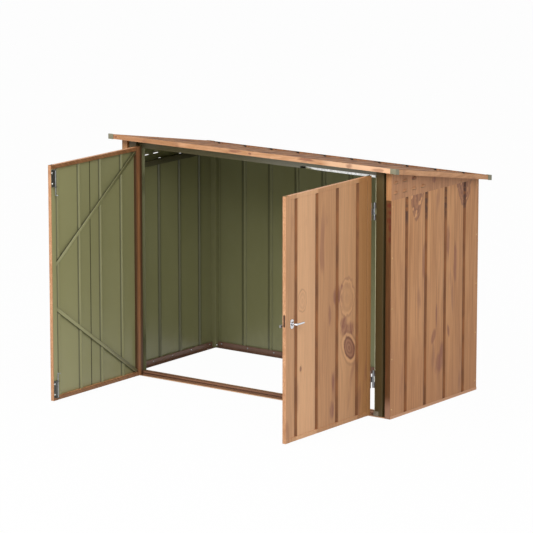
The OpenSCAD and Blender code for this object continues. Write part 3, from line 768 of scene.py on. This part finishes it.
def eased(node, width, finish, body="shelter", slot_name="green_paint"):
    """A CAD solid drawn again with its sharp edges rolled over."""
    solid = bmesh.new()
    solid.from_mesh(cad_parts[node].data)
    bmesh.ops.remove_doubles(solid, verts=solid.verts, dist=0.000002)
    bmesh.ops.dissolve_limit(
        solid, angle_limit=math.radians(2), use_dissolve_boundaries=False,
        verts=solid.verts, edges=solid.edges,
    )
    sharp = [edge for edge in solid.edges
             if len(edge.link_faces) == 2 and edge.calc_face_angle() > math.radians(30)]
    bmesh.ops.bevel(
        solid, geom=sharp, offset=width, segments=2, affect="EDGES", profile=0.5,
        clamp_overlap=True,
    )
    points = [corner.co.copy() for corner in solid.verts]
    faces = [tuple(corner.index for corner in face.verts) for face in solid.faces]
    solid.free()
    return new_piece(f"{node}_eased", points, faces, [finish], body, slot_name, replaced=[node])


sill_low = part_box("sill")[0]
sill_step_z = post_low.z + 0.0055
riser_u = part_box("door_stops")[0].y + sill_step_z
sill_bands = [
    ("u", sill_low.y - 0.01, sill_low.y + sill_step_z, (236, 186, 142), 0.8),
    ("u", sill_low.y + sill_step_z + 0.001, sill_low.y + sill_step_z + 0.008, (66, 40, 20), 0.8),
    ("u", riser_u - 0.007, riser_u + 0.004, (60, 36, 18), 0.9),
    ("u", riser_u + 0.015, riser_u + 0.022, (66, 40, 20), 0.7),
    ("u", riser_u + 0.023, riser_u + 0.050, (214, 164, 120), 0.7),
]
sill_pine = pine("sill_print", "YZ", "X", (176, 128, 98), (128, 84, 62), 0.6, zones=sill_bands)
eased("sill", 0.0009, sill_pine, slot_name="wood_print_wall")
eased("header", 0.0006, header_enamel_shaded_left)
eased("header_strip", 0.0004, bright_zinc, slot_name="galvanised")
strip_low, strip_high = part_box("header_strip")
clip_path = rounded([(strip_low.x - 0.044, strip_high.y), (strip_low.x - 0.003, strip_high.y)], 0.001)
dull_steel = flat_finish("dull_steel", (46, 44, 36), 0.5)
folded(
    "header_clip", clip_path, strip_high.y - strip_low.y, lambda x, y: (x, y, strip_low.z + 0.0005),
    lambda x, y: (x, y, strip_high.z - 0.001), "shelter", "galvanised", dull_steel, dull_steel,
)
# Painted light and shade: the right stop is written pale cream for the light that reaches it through the
# hinge gap, and the left stop dark olive for its shade.
stops = eased("door_stops", 0.0004, stop_enamel_lit)
stops.data.materials.append(painted("left_stop_enamel_shaded", (104, 104, 70), (116, 116, 84), 0.5))
for face in stops.data.polygons:
    if face.center.x < 0:
        face.material_index = 1
eased("foot_blocks", 0.0012, block_plastic, slot_name="grey_plastic")
eased("top_rail_back", 0.0006, shaded_rail, slot_name="brown_rail")
eased("top_rails_side", 0.0006, shaded_rail, slot_name="brown_rail")

# ---- Wall sheets ----
# Thin steel sheets with pressed ribs, printed with pine outside and green inside.
# The back is in three sheets that lap at their edges; all stand in the base rails.
rib_bend = 0.006


def cad_section(node, run, out):
    """A sheet's outer face as (place along run, place along out), and its two ends."""
    run, out = Vector(run), Vector(out)
    along = run.cross(out)
    outer = {}
    ends = []
    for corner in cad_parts[node].data.vertices:
        place = round(corner.co.dot(run), 5)
        outer[place] = max(outer.get(place, -10.0), corner.co.dot(out))
        ends.append(corner.co.dot(along))
    path = [Vector((place, outer[place])) for place in sorted(outer)]
    return path, along, min(ends), max(ends)


def ribbed(name, node, run, out, body, slot_name, outside, inside, cut=0.0):
    """A ribbed sheet drawn again with soft bends, from the section of its CAD node."""
    path, along, first, last = cad_section(node, run, out)
    run, out = Vector(run), Vector(out)
    soft_path = rounded(path, rib_bend)
    return folded(
        name, list(reversed(soft_path)), sheet_wall,
        lambda a, b: run * a + out * b + along * first,
        lambda a, b: run * a + out * b + along * (last - cut),
        body, slot_name, outside, inside, replaced=[node],
    )


def rib_row(node, run, out):
    """The first rib of a sheet, the distance between its ribs, and half a rib's width."""
    path = cad_section(node, run, out)[0][1:-1]
    middles = [(path[i].x + path[i + 3].x) / 2 for i in range(0, len(path) - 3, 4)]
    return middles[0], middles[1] - middles[0], (path[3].x - path[0].x) / 2


def grooves(axis, face_at, ribs, foot, top, side=1):
    """The grooves between a sheet's ribs, for pine: they start just under its outer face."""
    return (axis, side * (face_at - 0.0011), side * (face_at - 0.0001), *ribs, foot, top)


wall_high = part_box("wall_right")[1]
sheet_paint = (137, 136, 95), (156, 155, 120), 0.34
green_sheet = painted("green_sheet", *sheet_paint)
wall_swirls = [
    (-0.212, 1.372, 0.118, 0.160),
    (0.322, 1.392, 0.150, 0.170),
]
wall_stains = [
    (0.062, 0.265, 0.055, 0.085, -0.25), (0.086, 0.335, 0.030, 0.060), (-0.014, 0.440, 0.026, 0.050, -0.3),
    (0.155, 0.449, 0.014, 0.050, 0.2), (0.020, 0.560, 0.012, 0.090),
    (-0.127, 0.935, 0.022, 0.120), (0.141, 1.032, 0.022, 0.140), (0.224, 0.877, 0.020, 0.140),
]
wall_blot = (148, 90, 66)
wall_light, wall_dark = (228, 170, 118), (180, 122, 75)
side_ribs = rib_row("wall_right", (0, 1, 0), (1, 0, 0))
# The ribs argument paints shade along the ribs of the side walls' green insides.
side_green = painted("side_green", *sheet_paint, ("Y", *side_ribs, 0.6))
wall_right_pine = pine(
    "wall_right_print", "Y", "Z", wall_light, wall_dark, 0.5, (), wall_stains, wall_swirls,
    groove=grooves("X", wall_high.x, side_ribs, 0, wall_top), blot=wall_blot, low=0.45, overhang_shade=0.95,
)
wall_left_pine = pine(
    "wall_left_print", "Y", "Z", wall_light, wall_dark, 0.5, wild=0.3, low=0.45,
    groove=grooves("X", wall_high.x, side_ribs, 0, wall_top, -1), overhang_shade=0.95,
)
ribbed("wall_right_sheet", "wall_right", (0, 1, 0), (1, 0, 0), "shelter", "wood_print_wall",
       wall_right_pine, side_green)
ribbed("wall_left_sheet", "wall_left", (0, -1, 0), (-1, 0, 0), "shelter", "wood_print_wall",
       wall_left_pine, side_green)

back_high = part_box("back_sheet_middle")[1]
back_ribs = rib_row("back_sheet_middle", (1, 0, 0), (0, 1, 0))
back_pine = pine(
    "back_print", "X", "Z", wall_light, wall_dark, 0.5, wild=0.3, low=0.45,
    groove=grooves("Y", back_high.y, back_ribs, 0, back_high.z),
)
# The ribs argument paints shade along the ribs of the back sheets' green insides.
back_green = painted("back_green", *sheet_paint, ("X", *back_ribs, 0.5))
corner_bolt_in, corner_bolt_z, corner_bolt_r = 0.014, 0.017, 0.0075
for part, side in (("left", -1), ("right", 1)):
    place = (side * post_low.x, back_post_y + corner_bolt_in, corner_bolt_z)
    screws(f"corner_bolt_{part}", [place], (-side, 0, 0), "shelter", bright_zinc, radius=corner_bolt_r)
pine_screw = flat_finish("pine_screw", (190, 140, 98), 0.45)
wall_screw_pitch = 0.33
wall_screw_foot = 0.06
wall_screw_y = (-0.476, 0.470)
back_screw_x = (-1.034, -0.2655, 0.3855, 1.034)
side_heights = spread(wall_screw_foot, wall_high.z - 0.04, wall_screw_pitch)
for part, side in (("left", -1), ("right", 1)):
    places = [(side * wall_high.x, y, z) for y in wall_screw_y for z in side_heights]
    screws(f"wall_screws_{part}", places, (side, 0, 0), "shelter", pine_screw)
back_heights = spread(wall_screw_foot, back_high.z - 0.05, wall_screw_pitch)
places = [(x, back_high.y, z) for x in back_screw_x for z in back_heights]
screws("back_screws", places, (0, 1, 0), "shelter", pine_screw)
back_top_cut = 0.002
for part in ("left", "middle", "right"):
    ribbed(f"back_{part}", f"back_sheet_{part}", (-1, 0, 0), (0, 1, 0), "shelter", "wood_print_wall",
           back_pine, back_green, back_top_cut)

# ---- Gables ----
# Flat printed sheets over the side walls, with seven pressed louvres in each.
# A louvre is a short slit under an arched hood that keeps the rain out.
louvre_len = 0.050
louvre_slit = 0.004
louvre_h = 0.016
louvre_pitch = 0.100
louvre_first = post_low.y + 0.048
louvre_rows = ((wall_top + 0.034, 4), (wall_top + 0.098, 3))
hood_steps = 16
hood_rings = 4
sheet_y = wall_high.y
hood_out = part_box("gable_right")[1].x - wall_high.x


def gable_face(side):
    """The outer face of a gable as one net of faces, its hoods standing out of it."""
    net = bmesh.new()
    face_x = wall_high.x

    def corner(y, z, out=0.0):
        return net.verts.new((side * (face_x + out), y, z))

    def loop(corners):
        return [net.edges.new((a, b)) for a, b in zip(corners, corners[1:] + corners[:1])]

    edges = loop([
        corner(post_low.y, wall_top), corner(sheet_y, wall_top),
        corner(sheet_y, roof_under(sheet_y)), corner(post_low.y, roof_under(post_low.y)),
    ])
    for row_z, count in louvre_rows:
        for k in range(count):
            middle = louvre_first + k * louvre_pitch
            lip_z = row_z + louvre_slit
            half = louvre_len / 2
            sill_corners = [corner(middle - half, row_z), corner(middle + half, row_z)]
            rim = []
            for i in range(hood_steps + 1):
                turn = math.pi * i / hood_steps
                rim.append(corner(middle + half * math.cos(turn), lip_z + louvre_h * math.sin(turn)))
            edges += loop(sill_corners + rim)
            before = rim
            for r in range(1, hood_rings + 1):
                lean = math.pi / 2 * r / hood_rings
                ring = [rim[0]]
                for i in range(1, hood_steps):
                    arch = math.sin(math.pi * i / hood_steps)
                    ring.append(corner(
                        rim[i].co.y, lip_z + louvre_h * arch * math.cos(lean),
                        hood_out * arch * math.sin(lean),
                    ))
                ring.append(rim[-1])
                for i in range(hood_steps):
                    patch = []
                    for vert in (before[i], before[i + 1], ring[i + 1], ring[i]):
                        if vert not in patch:
                            patch.append(vert)
                    net.faces.new(patch)
                before = ring
    bmesh.ops.triangle_fill(net, use_beauty=True, edges=edges, normal=(side, 0, 0))
    net.verts.index_update()
    points = [vert.co.copy() for vert in net.verts]
    faces = [tuple(vert.index for vert in face.verts) for face in net.faces]
    net.free()
    return points, faces


def thickened(points, faces, shift):
    """A net of faces given a thickness, with which faces are its rear skin."""
    count = len(points)
    rear = [point + shift for point in points]
    used = {}
    for face in faces:
        for a, b in zip(face, face[1:] + face[:1]):
            used[frozenset((a, b))] = used.get(frozenset((a, b)), 0) + 1
    rims = []
    for face in faces:
        for a, b in zip(face, face[1:] + face[:1]):
            if used[frozenset((a, b))] == 1:
                rims.append((a, b, b + count, a + count))
    back_faces = [tuple(i + count for i in reversed(face)) for face in faces]
    skins = [0] * len(faces) + [1] * len(back_faces) + [0] * len(rims)
    return points + rear, faces + back_faces + rims, skins


gable_stains = [(-0.02, 1.440, 0.022, 0.022), (-0.25, 1.482, 0.030, 0.016)]
gable_pine = pine(
    "gable_print", "Y", "Z", (212, 156, 112), (178, 124, 84), 0.35, stains=gable_stains, quick=2.0,
)
for side in (-1, 1):
    node = "gable_right" if side > 0 else "gable_left"
    points, faces = gable_face(side)
    points, faces, skins = thickened(points, faces, Vector((-side * sheet_wall, 0, 0)))
    new_piece(
        f"{node}_sheet", points, faces, [gable_pine, green_sheet], "shelter", "wood_print_wall",
        skins, [node], 50,
    )

# ---- Roof ----
# Three ribbed sheets that fall to the back, printed on top and green underneath.
# Printed edging runs round them, with a grey plastic cap on each corner.
hem_edge = 0.0016
roof_angle = math.atan(roof_fall)
roof_up = (0, math.sin(roof_angle), math.cos(roof_angle))
roof_sheet_low_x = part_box("roof_sheet_left")[0].x
roof_pine = pine("roof_print", "X", "Y", (184, 130, 84), (108, 66, 36), 0.6, wild=0.25, quick=2.5)
for part in ("left", "middle", "right"):
    ribbed(f"roof_{part}", f"roof_sheet_{part}", (1, 0, 0), roof_up, "shelter", "wood_print_roof",
           roof_pine, green_sheet)

fascia_knots = [(1.025, 0.015, 0.009, 0.016), (1.025, -1.062, 0.009, 0.014)]
fascia_stains = [(1.028, -0.10, 0.012, 0.06), (1.02, 0.99, 0.014, 0.05), (1.03, 0.45, 0.010, 0.08)]
fascia_pine = pine(
    "fascia_print", "ZY", "X", (234, 180, 138), (192, 136, 92), 0.6, fascia_knots, fascia_stains,
    zones=[("v", -1.3, -0.55, (166, 112, 70), 0.5), ("v", 0.6, 1.3, (255, 208, 168), 0.75)],
    eye=(120, 52, 26), quick=4.0,
)
verge_pine = pine("verge_print", "ZX", "Y", (232, 176, 130), (190, 134, 90), 0.5, quick=4.0)
trim_finishes = {
    "trim_front": fascia_pine, "trim_back": roof_pine,
    "trim_left": verge_pine, "trim_right": verge_pine,
}
for node, finish in trim_finishes.items():
    repaint(node, finish)

trim_low, trim_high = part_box("trim_front")
trim_back_low, trim_back_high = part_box("trim_back")
verge_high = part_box("trim_right")[1]
front_hem = (trim_low.y + hem_edge, trim_low.z + hem_edge)
back_hem = (trim_back_high.y - hem_edge, trim_back_low.z + hem_edge)
fascia_x = trim_high.x - 0.004
verge_x = verge_high.x - hem_edge
hems = [
    [(-fascia_x, *front_hem), (0, *front_hem), (fascia_x, *front_hem)],
    [(-fascia_x, *back_hem), (0, *back_hem), (fascia_x, *back_hem)],
]
shaded_hem = painted("shaded_hem", (78, 50, 30), (96, 64, 42), 0.6)
for part, run, finish in (("front", hems[0], fascia_pine), ("back", hems[1], shaded_hem)):
    new_piece(f"hem_{part}", *swept(run, hem_edge, 8), [finish], "shelter", "wood_print_trim")
verge_ends = [
    Vector((0, front_hem[0] + 0.004, front_hem[1] - 0.004 * roof_fall)),
    Vector((0, back_hem[0] - 0.004, back_hem[1] + 0.004 * roof_fall)),
]
hems = [[end + Vector((side * verge_x, 0, 0)) for end in verge_ends] for side in (-1, 1)]
new_piece(
    "verge_hems", *joined([swept(run, hem_edge, 8) for run in hems]),
    [verge_pine], "shelter", "wood_print_trim",
)

cap_plastic = painted("cap_plastic", (140, 136, 112), (164, 160, 138), 0.5)
eased("corner_caps", 0.0009, cap_plastic, slot_name="grey_plastic")

# Black foam closures at the rib ends under the back trim, made wider than the ribs so that they also stand
# in as painted shade for the shadow gap there.
foam_and_shade = flat_finish("closure_foam_and_shade", (34, 26, 20), 0.85)
rib_first, rib_pitch, rib_half = rib_row("roof_sheet_middle", (1, 0, 0), roof_up)
closure_half = rib_half + 0.010
closure_h, closure_bevel, closure_t = 0.012, 0.004, 0.006
closure_top = trim_back_high.z - 0.0001
closure_back = trim_back_high.y - frame_wall - 0.0002
closures = []
step_count = math.floor((rib_first - roof_sheet_low_x) / rib_pitch)
for k in range(-step_count, 10 - step_count):
    middle = rib_first + k * rib_pitch
    profile = [
        (-closure_half, -closure_h), (-closure_half, -closure_bevel),
        (-closure_half + closure_bevel, 0), (closure_half - closure_bevel, 0),
        (closure_half, -closure_bevel), (closure_half, -closure_h),
    ]
    points = [(middle + x, y, closure_top + z) for y in (closure_back - closure_t, closure_back)
              for x, z in profile]
    closures.append((points, ring_faces(2, len(profile))))
new_piece("rib_closures", *joined(closures), [foam_and_shade], "shelter", "grey_plastic")

# ---- Doors ----
# Each leaf is a ribbed printed sheet in a frame of folded tubes, green on the inside.
# Two channel braces run from the hinge corners to the middle of the free stile.
stile_low, stile_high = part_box("door_right_stiles")
panel_low, panel_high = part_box("door_right_panel")
outer_x, inner_x = stile_high.x, stile_low.x
free_y = stile_low.y
stile_w = panel_low.y - stile_low.y
hinge_edge_y = panel_high.y + stile_w
door_w = hinge_edge_y - free_y
door_t = outer_x - inner_x
door_low, door_high = stile_low.z, stile_high.z
door_rail_h = panel_low.z - door_low
fin_w = stile_high.y - hinge_edge_y
stile_bend = 0.002
brace_low_x, brace_high_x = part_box("door_right_braces")[0].x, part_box("door_right_braces")[1].x
brace_w = 0.025
brace_wall = 0.0012
brace_middle, brace_split = 0.740, 0.110
brace_lines = (
    ((stile_w, door_high - door_rail_h - 0.0066), (door_w, brace_middle + brace_split)),
    ((stile_w, door_low + door_rail_h + 0.0041), (door_w, brace_middle - brace_split)),
)


def leaf(side, a, b, z):
    """A place on an open leaf: a from its hinge edge, b in from its outer face."""
    return (side * (outer_x - b), hinge_edge_y - a, z)


def face_finish(piece, finish, facing):
    """Gives the faces on one side of a piece another finish."""
    facing = Vector(facing)
    piece.data.materials.append(finish)
    number = len(piece.data.materials) - 1
    for face in piece.data.polygons:
        if face.normal.dot(facing) > 0.9:
            face.material_index = number


def clip(piece, planes):
    """Cuts a piece off square at each (place, outward direction), and closes the cuts."""
    shell = bmesh.new()
    shell.from_mesh(piece.data)
    for place, outward in planes:
        parts = shell.verts[:] + shell.edges[:] + shell.faces[:]
        cut = bmesh.ops.bisect_plane(
            shell, geom=parts, plane_co=place, plane_no=outward, clear_outer=True,
        )
        edges = [item for item in cut["geom_cut"] if isinstance(item, bmesh.types.BMEdge)]
        bmesh.ops.edgenet_fill(shell, edges=edges)
    shell.to_mesh(piece.data)
    shell.free()


door_knots = [
    (-0.733, 0.482, 0.070, 0.096, 0.30),
    (-1.241, 0.446, 0.012, 0.020),
]
door_stains = [
    (-0.752, 0.598, 0.080, 0.052), (-0.790, 0.650, 0.040, 0.044), (-0.868, 0.835, 0.045, 0.070),
    (-0.912, 0.125, 0.026, 0.070), (-0.905, 0.300, 0.014, 0.070), (-0.940, 0.720, 0.014, 0.070),
    (-0.812, 0.872, 0.014, 0.022),
]
door_halos = [
    (-1.226, 0.862, 0.040, 0.060), (-0.756, 0.800, 0.068, 0.112),
]
door_light, door_dark = (230, 176, 127), (192, 142, 100)
between_ribs = (
    ("u", -1.077, -0.864, (186, 130, 84), 0.42), ("u", -0.864, -0.651, (196, 144, 98), 0.30),
    ("u", -0.646, -0.400, (166, 112, 52), 0.66), ("u", -1.50, -1.290, (196, 144, 104), 0.30),
    ("u", -1.290, -1.077, (242, 190, 144), 0.55),
)
panel_span = panel_low.z, panel_high.z
door_ribs = {
    part: rib_row(f"door_{part}_panel", (0, 1, 0), out)
    for part, out in (("left", (-1, 0, 0)), ("right", (1, 0, 0)))
}
door_right_pine = pine(
    "door_right_print", "Y", "Z", door_light, door_dark, 0.5, door_knots, door_stains,
    zones=between_ribs, halos=door_halos,
    groove=grooves("X", panel_high.x, door_ribs["right"], *panel_span), blot=(140, 86, 68),
)
door_left_pine = pine(
    "door_left_print", "Y", "Z", door_light, door_dark, 0.5, wild=0.3,
    groove=grooves("X", panel_high.x, door_ribs["left"], *panel_span, -1),
)
# Painted light: the leaves' green, and the braces', is written lighter than the same green on the walls
# because the open leaves are lit more. The fade lightens it further towards the free edge.
door_paint_lit = (151, 149, 105), (168, 166, 130), 0.34
door_greens = {
    part: painted(f"door_{part}_green", *door_paint_lit, ("Y", *ribs, 0.1), ("Y", -0.85, -1.38, (170, 167, 120)))
    for part, ribs in door_ribs.items()
}
edge_pine = pine(
    "door_edge_print", "XY", "Z", (238, 184, 140), (190, 132, 88), 0.4, quick=6.0, speckle=0.8,
)
inner_pine = pine("door_inner_print", "XZY", "Z", (172, 120, 78), (132, 86, 50), 0.4, quick=2.0)
shaded_edges = [("u", -0.514, -0.40, (62, 36, 14), 0.85), ("u", -0.70, -0.541, (62, 36, 14), 0.8)]
hinge_pine = pine(
    "hinge_stile_print", "Y", "Z", (184, 128, 84), (146, 94, 56), 0.4, zones=shaded_edges, quick=2.0,
)
fin_brown = painted("fin_brown", (84, 56, 32), (104, 76, 50), 0.5)
brace_green = painted("brace_green", *door_paint_lit)
# Painted shade: the braces' flanges and bends are dark green so that dark lines run along both edges; the
# seam strip on the left leaf takes the same dark.
brace_edge_shade = painted("brace_edge_shade", (74, 72, 44), (96, 94, 64), 0.5)

for side in (-1, 1):
    part = "right" if side > 0 else "left"
    body = f"door_{part}"
    print_finish = door_right_pine if side > 0 else door_left_pine
    inward = (-side, 0, 0)
    door_green = door_greens[part]
    ribbed(f"{body}_sheet", f"{body}_panel", (0, side, 0), (side, 0, 0), body, "wood_print_door",
           print_finish, door_green)
    free_a = door_w - stile_w
    for stile, a0, a1, z0, z1 in (
        ("hinge_stile", 0.0, stile_w, door_low, door_high),
        ("free_foot", free_a, door_w, door_low, door_low + door_rail_h),
        ("free_stile", free_a, door_w, door_low + door_rail_h, door_high - door_rail_h),
        ("free_top", free_a, door_w, door_high - door_rail_h, door_high),
    ):
        piece = folded(
            f"{body}_{stile}", rounded(oblong(a0, 0.0, a1, door_t), stile_bend, True), frame_wall,
            lambda a, b: leaf(side, a, b, z0), lambda a, b: leaf(side, a, b, z1),
            body, "wood_print_door", print_finish, door_green, True, [f"{body}_stiles"],
        )
        inner_finishes = {"free_stile": door_green, "hinge_stile": hinge_pine}
        face_finish(piece, inner_finishes.get(stile, inner_pine), inward)
        face_finish(piece, fin_brown if stile == "hinge_stile" else edge_pine, (0, -1, 0))
        face_finish(piece, edge_pine, (0, 0, 1))
    folded(
        f"{body}_fin", [(-fin_w, door_t - frame_wall), (0.0, door_t - frame_wall)], frame_wall,
        lambda a, b: leaf(side, a, b, door_low), lambda a, b: leaf(side, a, b, door_high),
        body, "brown_rail", fin_brown, fin_brown, False, [f"{body}_stiles"],
    )
    for rail, z0 in (("bottom_rail", door_low), ("top_rail", door_high - door_rail_h)):
        piece = folded(
            f"{body}_{rail}", rounded(oblong(0.0, z0, door_t, z0 + door_rail_h), stile_bend, True),
            frame_wall,
            lambda b, z: leaf(side, stile_w, b, z), lambda b, z: leaf(side, door_w - stile_w, b, z),
            body, "wood_print_door", print_finish, door_green, True, [f"{body}_rails"],
        )
        face_finish(piece, inner_pine, inward)
        face_finish(piece, edge_pine, (0, 0, 1))
    for (start, end), brace in zip(brace_lines, ("upper_brace", "lower_brace")):
        start, end = Vector(start), Vector(end)
        along = (end - start).normalized()
        square = Vector((-along.y, along.x))
        half = brace_w / 2
        deep = brace_high_x - brace_low_x
        foot = outer_x - brace_high_x
        section = rounded([(half, 0), (half, deep), (-half, deep), (-half, 0)], 0.0035)

        def brace_end(q, b, place):
            flat = place + square * q
            return leaf(side, flat.x, foot + b, flat.y)

        piece = folded(
            f"{body}_{brace}", section, brace_wall,
            lambda q, b: brace_end(q, b, start - along * 0.03),
            lambda q, b: brace_end(q, b, end),
            body, "green_paint", brace_edge_shade, brace_edge_shade, False, [f"{body}_braces"],
        )
        face_finish(piece, brace_green, inward)
        clip(piece, (
            (leaf(side, stile_w, 0, 0), (0, 1, 0)),
            (leaf(side, door_w - stile_w, 0, 0), (0, -1, 0)),
            (leaf(side, 0, 0, door_high - door_rail_h), (0, 0, 1)),
            (leaf(side, 0, 0, door_low + door_rail_h), (0, 0, -1)),
        ))


rib_margin, door_rib_pitch = 0.082, 0.213
seam_a = door_w - rib_margin - door_rib_pitch * 1.5
seam_half, seam_t = 0.004, 0.0006
seam_x = outer_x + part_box("door_left_panel")[0].x + sheet_wall + seam_t
folded(
    "door_left_seam", [(seam_a - seam_half, 0.0), (seam_a + seam_half, 0.0)], seam_t,
    lambda a, b: leaf(-1, a, seam_x - b, door_low + door_rail_h),
    lambda a, b: leaf(-1, a, seam_x - b, door_high - door_rail_h),
    "door_left", "green_paint", brace_edge_shade, brace_edge_shade,
)

# ---- Hinges ----
# Two zinc-plated steel hinges to a leaf, each of three knuckles on a fixed pin.
# Their plates are screwed to the jamb's side and to the leaf's hinge edge.
hinge_zinc = plated("hinge_zinc", (190, 192, 194), 0.34)
eased("hinge_plates", 0.0004, hinge_zinc, "shelter", "galvanised")
eased("door_left_hinges", 0.0004, hinge_zinc, "door_left", "galvanised")
eased("door_right_hinges", 0.0004, hinge_zinc, "door_right", "galvanised")
hinge_low, hinge_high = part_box("hinge_plates")
hinge_h = 0.110
hinge_feet = (hinge_low.z, hinge_high.z - hinge_h)
hinge_plate_t = 0.002
jamb_plate_x = jamb_low.x - hinge_plate_t
hinge_screw_in = 0.009
hinge_screw_rises = (0.014, 0.055, 0.096)
for side, part in ((-1, "left"), (1, "right")):
    places = [(side * jamb_plate_x, hinge_high.y - hinge_screw_in, foot + rise)
              for foot in hinge_feet for rise in hinge_screw_rises]
    screws(f"jamb_hinge_screws_{part}", places, (-side, 0, 0), "shelter", radius=0.0036)

# ---- Bolts ----
# Zinc rods at the top and foot of the left leaf hold it shut. Each slides in a folded
# bracket that is screwed to the free stile, and is pulled by a short knob.
bolt_zinc = plated("bolt_zinc", (176, 178, 176), 0.36)
bracket_zinc = plated("bracket_zinc", (122, 122, 116), 0.46)
eased("bolt_brackets", 0.0006, bracket_zinc, "door_left", "galvanised")
rod_r = 0.004
knob_r = 0.0035
bracket_low, bracket_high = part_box("bolt_brackets")
bracket_plate_x = bracket_low.x + 0.003
for node in ("bolt_top", "bolt_bottom"):
    rod_low, rod_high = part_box(node)
    rod_x, rod_y = rod_low.x + rod_r, (rod_low.y + rod_high.y) / 2
    knob_z = rod_low.z + rod_r if node == "bolt_top" else rod_high.z - rod_r
    tip = dome_out * rod_r
    rod = swept([(rod_x, rod_y, rod_low.z + tip), (rod_x, rod_y, rod_high.z - tip)], rod_r, 16)
    knob_end = rod_high.x - dome_out * knob_r
    knob = swept([(rod_x, rod_y, knob_z), (knob_end, rod_y, knob_z)], knob_r, 16)
    new_piece(f"{node}_rod", *joined([rod, knob]), [bolt_zinc], node, "galvanised", replaced=[node])
bracket_half, bracket_screw_off = 0.055, 0.034
bracket_y = (bracket_low.y + bracket_high.y) / 2 - 0.0135
bracket_screws = [
    (bracket_plate_x, bracket_y, middle + off)
    for middle in (bracket_high.z - bracket_half, bracket_low.z + bracket_half)
    for off in (-bracket_screw_off, bracket_screw_off)
]
screws("bracket_screws", bracket_screws, (1, 0, 0), "door_left", finish=bright_zinc, radius=0.0052)

# ---- Lock and handle ----
# A steel lock case stands on the inside of the right leaf, its latch past the free edge.
# The chromed lever turns in a tall oval rose, and a small round rose covers the keyhole.
lever_low, lever_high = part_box("handle")
rose_low, rose_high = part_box("handle_roses")
neck_r = 0.007
grip_r = 0.0065
lever_bend = 0.011
handle_z = 0.740
spindle_y = lever_low.y + neck_r
rose_r = spindle_y - rose_low.y
rose_rise = rose_high.z - handle_z - rose_r
key_r = 0.009
key_y = rose_high.y - key_r
key_z = handle_z - 0.012


def polished(name, colour, rough):
    """Chrome: bright metal with fine wiping marks and a few dull spots."""
    material, shade = new_finish(name)
    x, y, z = rest_place(shade)
    wiped = shade.noise(x * 400, y * 60, z * 400, 3)
    dull = shade.noise(x * 55, y * 55, z * 55, 3).between(0.5, 0.8)
    darker = tuple(channel * 0.86 for channel in colour)
    surface(shade, dull.mix(tint(*colour), tint(*darker)), rough + wiped * 0.08 + dull * 0.12,
            wiped, 0.00003, metallic=1.0)
    return material


case_zinc = plated("lock_zinc", (168, 170, 170), 0.38)
eased("lock_case", 0.0011, case_zinc, "door_right", "galvanised")
plate_proud = 0.0004
slot_x = (outer_x - 0.0180, outer_x - 0.0045)
slot_z = (handle_z - 0.012, handle_z + 0.064)
slot_half = (slot_x[1] - slot_x[0]) / 2
outline = []
for end, up in ((slot_z[1] - slot_half, 1), (slot_z[0] + slot_half, -1)):
    for i in range(9):
        turn = math.pi * i / 8
        outline.append((slot_x[0] + slot_half + up * slot_half * math.cos(turn),
                        end + up * slot_half * math.sin(turn)))
points = [(x, y, z) for y in (free_y + plate_proud, free_y - plate_proud)
          for x, z in outline]
# A flat dark brown plate on the leaf's free edge is painted shade standing in for the latch slot.
latch_slot_shade = flat_finish("latch_slot_shade", (58, 34, 18), 0.7)
new_piece("lock_face", points, ring_faces(2, len(outline)), [latch_slot_shade], "door_right", "galvanised")

chrome = polished("bright_chrome", (226, 228, 232), 0.12)
bend = [
    (lever_low.x + 0.0006, spindle_y), (lever_high.x - grip_r, spindle_y),
    (lever_high.x - grip_r, lever_high.y - dome_out * grip_r),
]
lever_path = [(x, y, handle_z) for x, y in rounded(bend, lever_bend, steps=8)]
new_piece(
    "handle_lever", *swept(lever_path, grip_r, 20), [chrome], "handle", "bright_chrome",
    replaced=["handle"], soft=50,
)
rose_out = rose_high.x - rose_low.x
profile = [
    (rose_r, 0), (rose_r, rose_out * 0.6), (rose_r - 0.0006, rose_out * 0.82),
    (rose_r - 0.0022, rose_out * 0.97), (rose_r - 0.004, rose_out), (0.0112, rose_out),
    (0.0104, rose_out - 0.0006), (0.0102, rose_out - 0.0022),
]
small = [
    (key_r, 0), (key_r, rose_out * 0.6), (key_r - 0.0006, rose_out * 0.84),
    (key_r - 0.0018, rose_out * 0.97), (key_r - 0.0028, rose_out), (0.0005, rose_out),
]
long_rose = turned((rose_low.x, spindle_y, handle_z), (1, 0, 0), profile)
for point in long_rose[0]:
    up = point.z - handle_z
    if math.hypot(up, point.y - spindle_y) > 0.0115:
        point.z += rose_rise * max(-1, min(1, up * 4 / rose_r))
roses = joined([long_rose, turned((rose_low.x, key_y, key_z), (1, 0, 0), small)])
new_piece("lever_roses", *roses, [chrome], "door_right", "bright_chrome", replaced=["handle_roses"])
# The ring round the lever's neck and the keyhole are painted near black as shade.
dark_ring = turned(
    (rose_low.x, spindle_y, handle_z), (1, 0, 0),
    [(0.0101, rose_out * 0.5), (0.0101, rose_out - 0.0018), (0.0076, rose_out - 0.0018)],
)
face_x = rose_high.x + 0.0001
key_hole = turned((face_x, key_y, key_z + 0.0014), (1, 0, 0), [(0.0019, -0.001), (0.0019, 0.0001)], 16)
key_slot = turned((face_x, key_y, key_z - 0.0012), (1, 0, 0), [(0.0016, -0.001), (0.0016, 0.0001)], 4)
new_piece(
    "rose_recesses", *joined([dark_ring, key_hole, key_slot]), [recess_shade], "door_right",
    "bright_chrome", soft=50,
)
